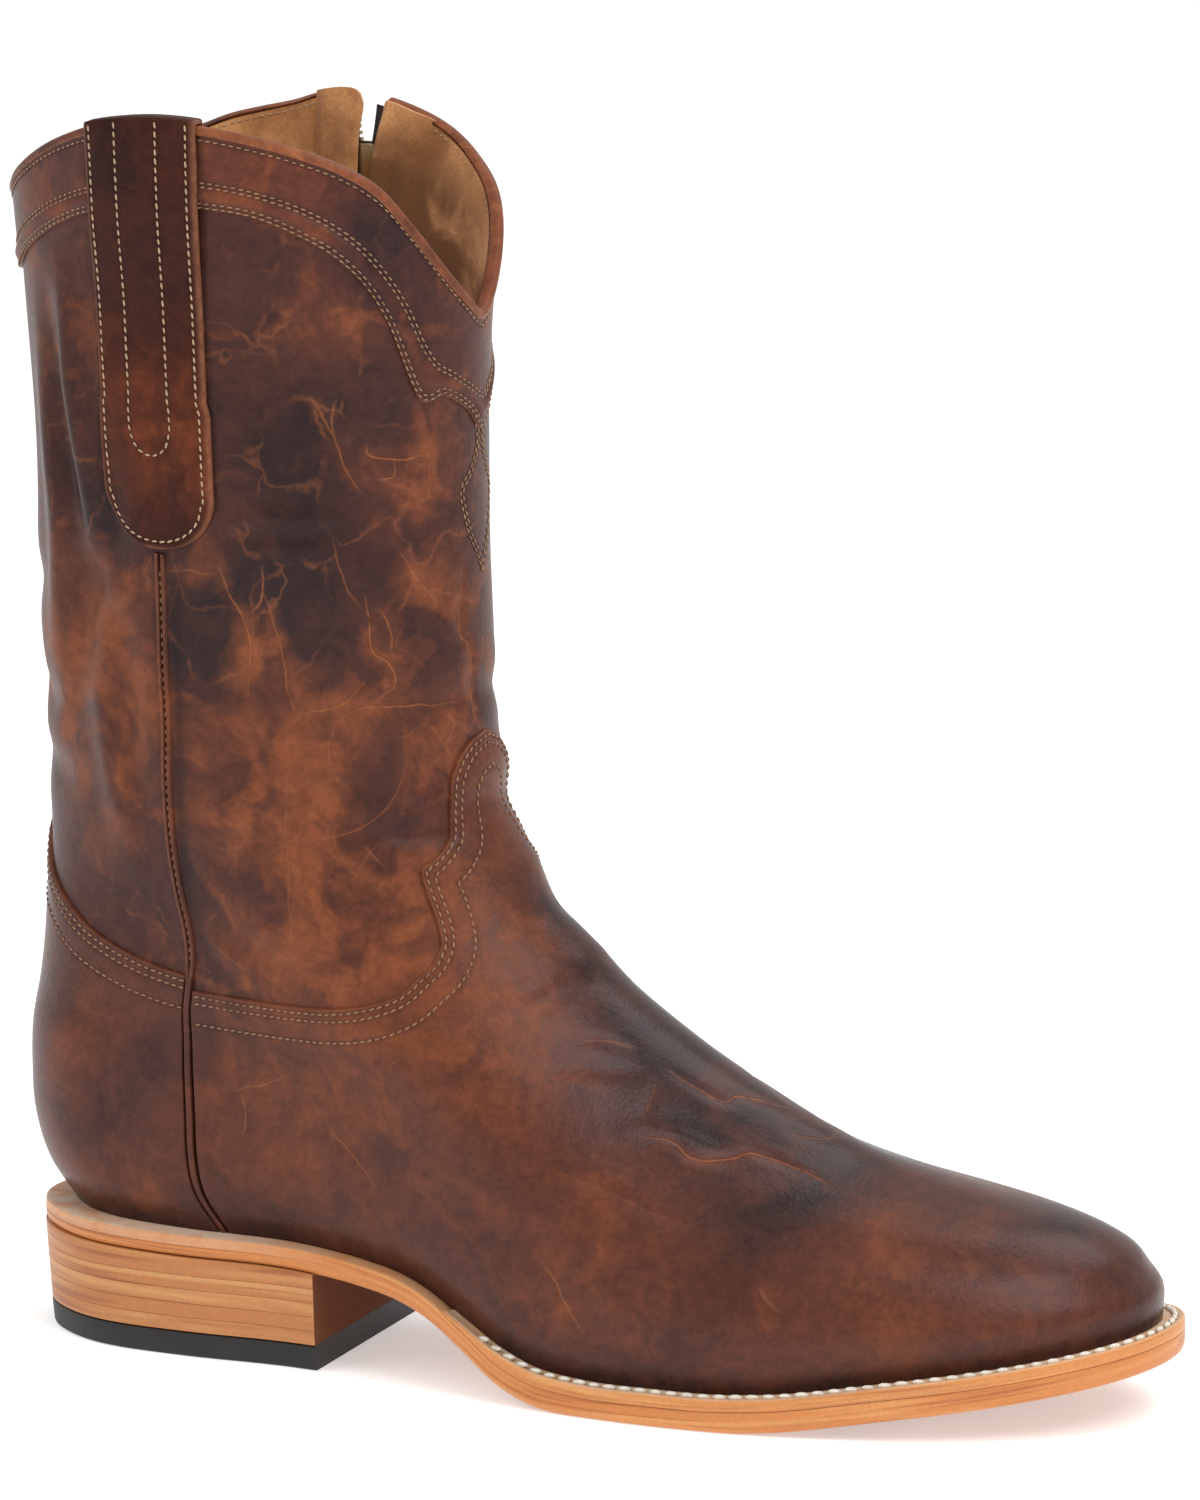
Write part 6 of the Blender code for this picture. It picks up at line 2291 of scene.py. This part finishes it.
@dataclass
class SoleUnit:
    """Outsole, welt with its stitches, and footbed."""

    stations: int = 240
    tuck: float = 5.0
    reach: float = 100.0
    channel: float = 2.7
    pitch: float = 4.3
    stitch: Sizes = (3.7, 1.7, 1.5)
    slant: float = 0.10
    footbed: float = 3.0
    clearance: float = 0.5
    wall: float = 2.0
    rand: float = 0.53
    # Where the pale strip round the heel starts to fade and where it ends, in mm from the back
    strip_fades: float = 48.0
    strip_ends: float = 98.0

    # Edge of the outsole: distance in from its outline, and height as a share of its thickness
    SOLE_EDGE = (
        (16.0, 0.0), (3.0, 0.0), (1.3, 0.03), (0.5, 0.12), (0.1, 0.30), (0.0, 0.46), (0.0, 0.50),
        (0.05, 0.53), (0.0, 0.56), (0.0, 0.60), (0.0, 0.88), (0.12, 0.97), (0.4, 1.0), (1.2, 1.0),
        (3.0, 1.0), (9.0, 1.0), (16.0, 1.0),
    )
    # Section of the welt: distance in from the sole's outline, and height as a share of its thickness
    WELT_EDGE = (
        (0.15, 0.0), (0.0, 0.10), (0.0, 0.45), (0.1, 0.8), (0.5, 0.98), (1.4, 1.0), (1.9, 0.86),
        (2.7, 0.80), (3.5, 0.86), (4.0, 1.0),
    )

    def plate(self, edge: Sequence[Spot], bottom: Height, top: Height, base: float | None) -> Array:
        """Rings across a plate, from toe to heel.

        Args:
            edge: Distances in from the outline, with heights as shares of the thickness.
            bottom: Height of the lower face over the length.
            top: Height of the upper face over the length.
            base: Distance of the outline from the feather line, or None for the sole's own margin.

        Returns:
            Rings of points.
        """
        angles = np.linspace(TOE_END, HEEL_END, self.stations)

        def step(sign: int, inset: float, share: float) -> Array:
            """Points of one side at one step of the edge."""
            around = sign * angles
            plan = LAST.sole_edge(around, inset) if base is None else LAST.plan_edge(around, base - inset)
            low, high = bottom(plan[:, 0]), top(plan[:, 0])
            return np.column_stack([plan, low + (high - low) * share])

        return both_edges(edge, step)

    def build_outsole(self) -> None:
        """Makes the outsole with its rounded edge, its pale upper face and a pale strip round the heel."""
        rings = self.plate(self.SOLE_EDGE, LAST.sole_bottom, LAST.sole_top, None)
        inset, share = np.array(self.SOLE_EDGE + self.SOLE_EDGE[::-1]).T
        heel = 1 - ease(self.strip_fades, self.strip_ends, rings[..., 0])
        tints = streaks(rings)
        tints["layer"] = np.tile(share * LAST.sole, (len(rings), 1))
        strip = np.where(share > self.rand, 0.35 * heel, 0.0)
        tints["face"] = np.where(share == 1.0, 0.3 + 0.7 * heel, strip)
        worn = 0.6 * ((share == 0.0) & (inset > 2.0))
        tints["seam"] = np.maximum(worn, 0.5 * heel * bell((share - self.rand) / 0.03))
        piece = make_loft("outsole_leather", rings, SOLE.material(), tints, 2)
        dress(piece, Slot.SOLE, "outsole")

    def build_welt(self) -> None:
        """Makes the welt, with a channel for its stitches, and the stitches."""
        angles = np.linspace(-self.reach, self.reach, self.stations * 2)
        points = []
        for inset, share in self.WELT_EDGE:
            points.append(self.on_welt(LAST.sole_edge(angles, inset), share))
        for share in (1.0, 0.0):
            points.append(self.on_welt(LAST.plan_edge(angles, -self.tuck), share))
        rings = np.stack(points, 1)
        edge = np.array(self.WELT_EDGE + ((9.0, 1.0), (9.0, 0.0)))
        tints = streaks(rings)
        tints["layer"] = np.tile(edge[:, 1] * LAST.welt, (len(rings), 1))
        tints["face"] = np.tile(ease(0.2, 0.8, edge[:, 0]) * (edge[:, 1] > 0.5), (len(rings), 1))
        tints["seam"] = np.tile(0.4 * ((edge[:, 0] > 1.8) & (edge[:, 0] < 3.6)), (len(rings), 1))
        piece = make_loft("welt_strip", rings, WELT.material(), tints)
        dress(piece, Slot.WELT, "welt")
        run = angles[np.abs(angles) < self.reach - 4.0]
        path = self.on_welt(LAST.sole_edge(run, self.channel), 1.0)
        up = np.tile([0.0, 0.0, 1.0], (len(path), 1))
        look = WHITE_THREAD.material()
        sewn = STITCHES.make("welt_stitches", [(path, up)], self.pitch, self.stitch, look, self.slant)
        dress(sewn, Slot.WELT)

    @staticmethod
    def on_welt(plan: Array, share: float) -> Array:
        """Points in the welt over points in plan, at a share of its thickness."""
        low = LAST.sole_top(plan[:, 0]) + CLOSE
        return np.column_stack([plan, low + (LAST.welt_top(plan[:, 0]) - low) * share])

    def build_footbed(self) -> None:
        """Makes the footbed inside the upper."""
        edge = ((14.0, 0.0), (0.4, 0.0), (0.0, 0.5), (0.4, 0.9), (1.2, 1.0), (14.0, 1.0))
        inset = -self.wall - self.clearance
        rings = self.plate(edge, LAST.feather, lambda x: LAST.feather(x) + self.footbed, inset)
        tints = {"seam": np.zeros(rings.shape[:2]), "deep": np.full(rings.shape[:2], 0.4)}
        piece = make_loft("footbed", rings, FOOTBED.material(), tints, 2)
        dress(piece, Slot.LINING, "insole")


@dataclass
class Heel:
    """The stacked heel: lifts of leather on a rubber cap."""

    lifts: int = 5
    cap: float = 7.0
    breast: float = 84.5
    taper: float = 0.07
    stations: int = 60
    joint: float = 0.04
    round_edge: float = 0.05
    cap_edge: float = 0.45
    # Painted shade on the breast of the lifts, as a share
    end_shade: float = 0.98
    apart: float = 9.3
    core: float = 18.0

    # Places along the boot where a layer's height is measured
    MEASURED = np.array([20.0, 60.0])

    def side(self, sign: int, inset: float) -> Array:
        """One side of a layer, from the back to the breast.

        Args:
            sign: 1 for the outer side and -1 for the inner.
            inset: Distance in from the sole's edge.

        Returns:
            Points in plan.
        """
        fine = sign * np.linspace(HEEL_END, 100.0, 300)
        end = np.interp(self.breast, LAST.sole_edge(fine, inset)[:, 0], fine)
        return LAST.sole_edge(np.linspace(fine[0], end, self.stations), inset)

    def layer(self, low: float, top: Height, soft: float) -> Array:
        """Rings of one layer.

        Args:
            low: Height of its lower face.
            top: Height of its top face over the length.
            soft: Radius of its softened edges.

        Returns:
            Rings of points.
        """
        edge = ((self.core, 0.0, 0.0), (soft * 2, 0.0, 0.0), (soft * 0.3, 0.0, soft), (0.0, 0.0, 2 * soft),
                (0.0, 1.0, -2 * soft), (soft * 0.3, 1.0, -soft), (soft * 2, 1.0, 0.0), (self.core, 1.0, 0.0))

        def step(sign: int, inset: float, share: float, rise: float) -> Array:
            """Points of one side at one step of the edge."""
            level = low if share == 0.0 else float(np.mean(top(self.MEASURED)))
            plan = self.side(sign, inset + self.taper * (LAST.heel_height - level))
            return np.column_stack([plan, low + (top(plan[:, 0]) - low) * share + rise])

        return both_edges(edge, step)

    def build(self) -> None:
        """Makes the cap and the lifts."""
        rings = self.layer(0.0, lambda x: np.full_like(x, self.cap), self.cap_edge)
        piece = make_loft("heel_cap_rubber", rings, RUBBER.material(), None, 1)
        dress(piece, Slot.RUBBER, "heel_cap")
        seat = float(LAST.sole_bottom(self.breast)) - self.joint
        pitch = (seat - self.cap) / self.lifts
        look = LIFT.material()
        for number in range(1, self.lifts + 1):
            low = self.cap + (number - 1) * pitch + self.joint
            high = self.cap + number * pitch
            top = (lambda x, z=high: np.full_like(x, z)) if number < self.lifts else self.under_sole
            rings = self.layer(low, top, self.round_edge)
            tints = streaks(rings)
            tints["layer"] = tints["layer"] + number * self.apart
            tints["face"] = tints["seam"] = np.zeros(rings.shape[:2])
            piece = make_loft(f"heel_lift_leather_{number}", rings, look, tints, 1, self.end_shade)
            dress(piece, Slot.LIFT, f"heel_lift_{number}")

    def under_sole(self, x: Array) -> Array:
        """Top of the uppermost lift, which follows the sole."""
        return LAST.sole_bottom(x) - self.joint


@dataclass(frozen=True)
class Flap:
    """A flap of lining leather over one tape of the zip.

    Its edges are distances from the middle of the closed zip, in millimetres. Over the last stretch
    before its far edge, as long as rise_from, it rises to the lining.
    """

    name: str
    side: int
    near: float
    far: float
    columns: int
    lift: float
    corner: float
    parts: bool
    seam: float
    rise: float
    rise_from: float
    shade_and_stain: float


GUARD = Flap(
    "zip_guard_leather", side=-1, near=0.3, far=15.0, columns=15, lift=0.045, corner=4.0, parts=False,
    seam=0.6, rise=1.2, rise_from=4.0, shade_and_stain=0.2,
)
FACING = Flap(
    "zip_facing_leather", side=1, near=3.6, far=20.0, columns=21, lift=0.015, corner=1.2, parts=True,
    seam=0.0, rise=2.2, rise_from=8.0, shade_and_stain=0.9,
)


@dataclass
class Zip:
    """The zip on the inner side: tapes, teeth, facings of lining leather, slider and pull."""

    rows: int = 130
    wall: float = 2.0
    tape_gap: float = 0.5
    tape: float = 0.8
    tape_width: float = 10.5
    below_slot: float = 0.1
    below_rim: float = 0.06
    tooth: Sizes = (1.0, 2.6, 1.5)
    tooth_inset: float = 2.0
    tooth_out: float = 0.9
    pitch: float = 1.75
    facing: float = 0.9
    facing_out: float = -3.55
    slider_level: float = 15.86
    slider_room: float = 2.6
    slider_reach: float = 0.42
    bevel: float = 0.28
    rim_level: float = 16.2
    open_level: float = 16.3
    # Height of one level in mm, at the rim and along the chain
    rim_step: float = 32.0
    chain_step: float = 30.0
    tooth_shift: float = 0.5
    # Softened edges of the tape, as shares of its thickness
    tape_edge: tuple[float, ...] = (0.4, 0.9, 1, 1, 1, 1, 1, 0.9, 0.5)

    def strip(self, side: int, across: Array, lift: float, corner: float, parts: bool = True) -> Skin:
        """Skin under a strip beside the zip.

        Args:
            side: 1 for the front side and -1 for the rear.
            across: Distances of its columns from the middle of the closed zip, in millimetres.
            lift: How far its top stands above the rim, in levels.
            corner: Radius of its near upper corner in millimetres.
            parts: Whether it moves out with the slot where that opens towards the rim.

        Returns:
            The skin at the strip's points.
        """
        low = LAST.zip_foot - self.below_slot
        cut = corner * (1 - np.sqrt(1 - np.clip(1 - (across - across[0]) / max(corner, 0.1), 0, 1) ** 2))
        opened = LAST.slot_half(self.open_level) - LAST.slot if parts else 0.0
        rim = LAST.collar(LAST.beside_zip(self.rim_level, side * (opened + across)))
        top = rim + lift - cut / self.rim_step
        level = low + (top - low) * np.linspace(0, 1, self.rows)[:, None]
        opened = LAST.slot_half(level) - LAST.slot if parts else 0.0
        return Skin(LAST.beside_zip(level, side * (opened + across)), level)

    def build(self) -> None:
        """Makes the tapes, the rows of teeth and the two flaps."""
        tape, brass, lining = TAPE.material(), BRASS.material(), LINING.material()
        tape_out = -self.wall - self.tape_gap
        soft = np.array(self.tape_edge) * self.tape
        across = np.linspace(LAST.gap, LAST.gap + self.tape_width, len(soft))
        for side, word in ((1, "front"), (-1, "rear")):
            skin = self.strip(side, across, -self.below_rim, 0.0)
            piece = make_wall(f"zip_tape_woven_{word}", skin.at(tape_out), skin.at(tape_out - soft), tape)
            dress(piece, Slot.TAPE, f"zip_tape_{word}")
            level = skin.level[1:-2, 0] + (self.tooth_shift * (side > 0)) * self.pitch / self.chain_step
            skin = Skin(LAST.beside_zip(level, side * (LAST.slot_half(level) - self.tooth_inset)), level)
            path = (skin.at(tape_out + self.tooth_out), skin.normal)
            teeth = TEETH.make(f"zip_tooth_row_{word}", [path], self.pitch, self.tooth, brass)
            dress(teeth, Slot.METAL, f"zip_teeth_{word}")
        self.build_flap(GUARD, lining, "zip_guard")
        self.build_flap(FACING, lining)

    def build_flap(self, flap: Flap, look: Look, *nodes: str) -> None:
        """Makes a flap, bent round the slider.

        Args:
            flap: Its place and sizes.
            look: Material of the lining leather.
            nodes: Solids that it stands for.
        """
        across = np.linspace(flap.near, flap.far, flap.columns)
        skin = self.strip(flap.side, across, flap.lift, flap.corner, flap.parts)
        beside_slider = bell((skin.level - self.slider_level) / self.slider_reach, 4)
        room = self.slider_room * beside_slider * (1 - ease(4.5, 9.0, across))
        flat = self.facing_out + flap.rise * ease(flap.far - flap.rise_from, flap.far, across)
        soft = rounded(np.minimum(across - flap.near, flap.far - across), 1.0, 0.3) * self.facing
        down = LAST.collar(skin.angle) - skin.level
        tints = {"seam": flap.seam * bell((flap.far - 1.4 - across) / 0.6) + 0 * down}
        # Painted shade and stains: darker below the rim, inside the boot
        tints["deep"] = 0.1 + flap.shade_and_stain * ease(0.0, 0.6, down)
        piece = make_wall(flap.name, skin.at(flat - room), skin.at(flat - room - soft), look, tints)
        dress(piece, Slot.LINING, *nodes)

    def build_metal(self) -> None:
        """Makes the slider and the pull from their solids, with softened edges."""
        brass = BRASS.material()
        for node, body in (("zip_slider", Body.BOOT), ("zip_pull", Body.PULL)):
            shape = bmesh.new()
            shape.from_mesh(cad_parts[node].data)
            bmesh.ops.remove_doubles(shape, verts=shape.verts, dist=1e-6)
            flat = {"verts": shape.verts, "edges": shape.edges}
            bmesh.ops.dissolve_limit(shape, angle_limit=math.radians(2), **flat)
            mesh = bpy.data.meshes.new(f"{node}_metal")
            shape.to_mesh(mesh)
            shape.free()
            mesh.materials.clear()
            mesh.materials.append(brass)
            piece = linked(f"{node}_metal", mesh)
            soft = piece.modifiers.new("soft_edges", "BEVEL")
            soft.width = self.bevel * MM
            soft.segments = 3
            soft.limit_method = "ANGLE"
            plain = made_plain(piece)
            plain.shade_smooth()
            plain.set_sharp_from_angle(angle=math.radians(50))
            dress(piece, Slot.METAL, node, body=body)


@dataclass
class Studio:
    """White floor, soft light and the camera."""

    aim: Sizes = (0.00334, -0.00125, 0.1649)
    azimuth: float = 21.89
    elevation: float = 10.98
    distance: float = 2.1654
    focal: float = 200.1
    sensor: float = 36.0
    floor: float = 12.0
    sky: float = 0.70
    # Soft boxes: azimuth, elevation, distance, size and power
    boxes: tuple[tuple[float, float, float, float, float], ...] = (
        (62.0, 48.0, 1.6, 0.9, 11.5), (-48.0, 40.0, 1.8, 1.0, 5.2), (150.0, 55.0, 1.8, 0.9, 7.0),
    )

    def aimed(self, name: str, data: Any, azimuth: float, elevation: float, distance: float) -> Piece:
        """Places a lamp or a camera so that it faces the boot.

        Args:
            name: Name of the object.
            data: Its light or lens.
            azimuth: Degrees round the boot, 0 on its outer side.
            elevation: Degrees up.
            distance: Distance in metres.

        Returns:
            The new object.
        """
        a, e = math.radians(azimuth), math.radians(elevation)
        way = Vector((math.sin(a) * math.cos(e), -math.cos(a) * math.cos(e), math.sin(e)))
        placed = linked(name, data)
        placed.location = Vector(self.aim) + way * distance
        placed.rotation_euler = way.to_track_quat("Z", "Y").to_euler()
        return placed

    def build(self) -> None:
        """Makes floor, sky, lights and camera."""
        scene, half = bpy.context.scene, self.floor / 2
        mesh = bpy.data.meshes.new("floor")
        corners = [(-half, -half, 0), (half, -half, 0), (half, half, 0), (-half, half, 0)]
        mesh.from_pydata(corners, [], [(0, 1, 2, 3)])
        mesh.materials.append(FLOOR.material())
        floor = linked("floor", mesh)
        scene.world = bpy.data.worlds.new("studio")
        scene.world.use_nodes = True
        back = scene.world.node_tree.nodes["Background"]
        back.inputs["Color"].default_value = (1.0, 1.0, 1.0, 1.0)
        back.inputs["Strength"].default_value = self.sky
        for number, (azimuth, elevation, distance, size, power) in enumerate(self.boxes, 1):
            lamp = bpy.data.lights.new(f"soft_box_{number}", "AREA")
            lamp.size, lamp.energy = size, power
            self.aimed(lamp.name, lamp, azimuth, elevation, distance)
        lens = bpy.data.cameras.new("camera")
        lens.lens, lens.sensor_width = self.focal, self.sensor
        scene.camera = self.aimed("camera", lens, self.azimuth, self.elevation, self.distance)
        scene.view_settings.view_transform = "Standard"


def main() -> None:
    """Builds the boot piece by piece, then the studio."""
    logging.basicConfig(level=logging.INFO, format="%(message)s")
    collar, shaft = Collar(), Shaft()
    rows = collar.stitch_rows()
    shaft.build(rows["drop"] + rows["band"][3:])
    shaft.build_lining(rows["lining"])
    collar.build_band(rows["band"])
    collar.build_binding()
    collar.build_stitches(rows)
    leather, thread = VAMP_LEATHER.material(), TAN_THREAD.material()
    vamp = Panel("vamp_leather", "vamp", VAMP_EDGE, middle=0.0, turn=5.0, corner=6.36, columns=372, rows=104)
    vamp.build(leather, thread)
    counter = Panel("counter_leather", "counter", COUNTER_EDGE, middle=180.0, turn=0.0, corner=6.70,
                    columns=190, rows=70)
    counter.build(leather, thread)
    SideSeam("outer_seam_bead", "side_seam_outer", LAST.side_seam, top=13.29).build(leather, thread)
    SideSeam("inner_seam_bead", "side_seam_inner", LAST.inner_seam, top=8.1).build(leather, thread)
    PullStrap().build()
    sole = SoleUnit()
    sole.build_outsole()
    sole.build_welt()
    sole.build_footbed()
    Heel().build()
    zipper = Zip()
    zipper.build()
    zipper.build_metal()
    Studio().build()


if __name__ == "__main__":
    main()
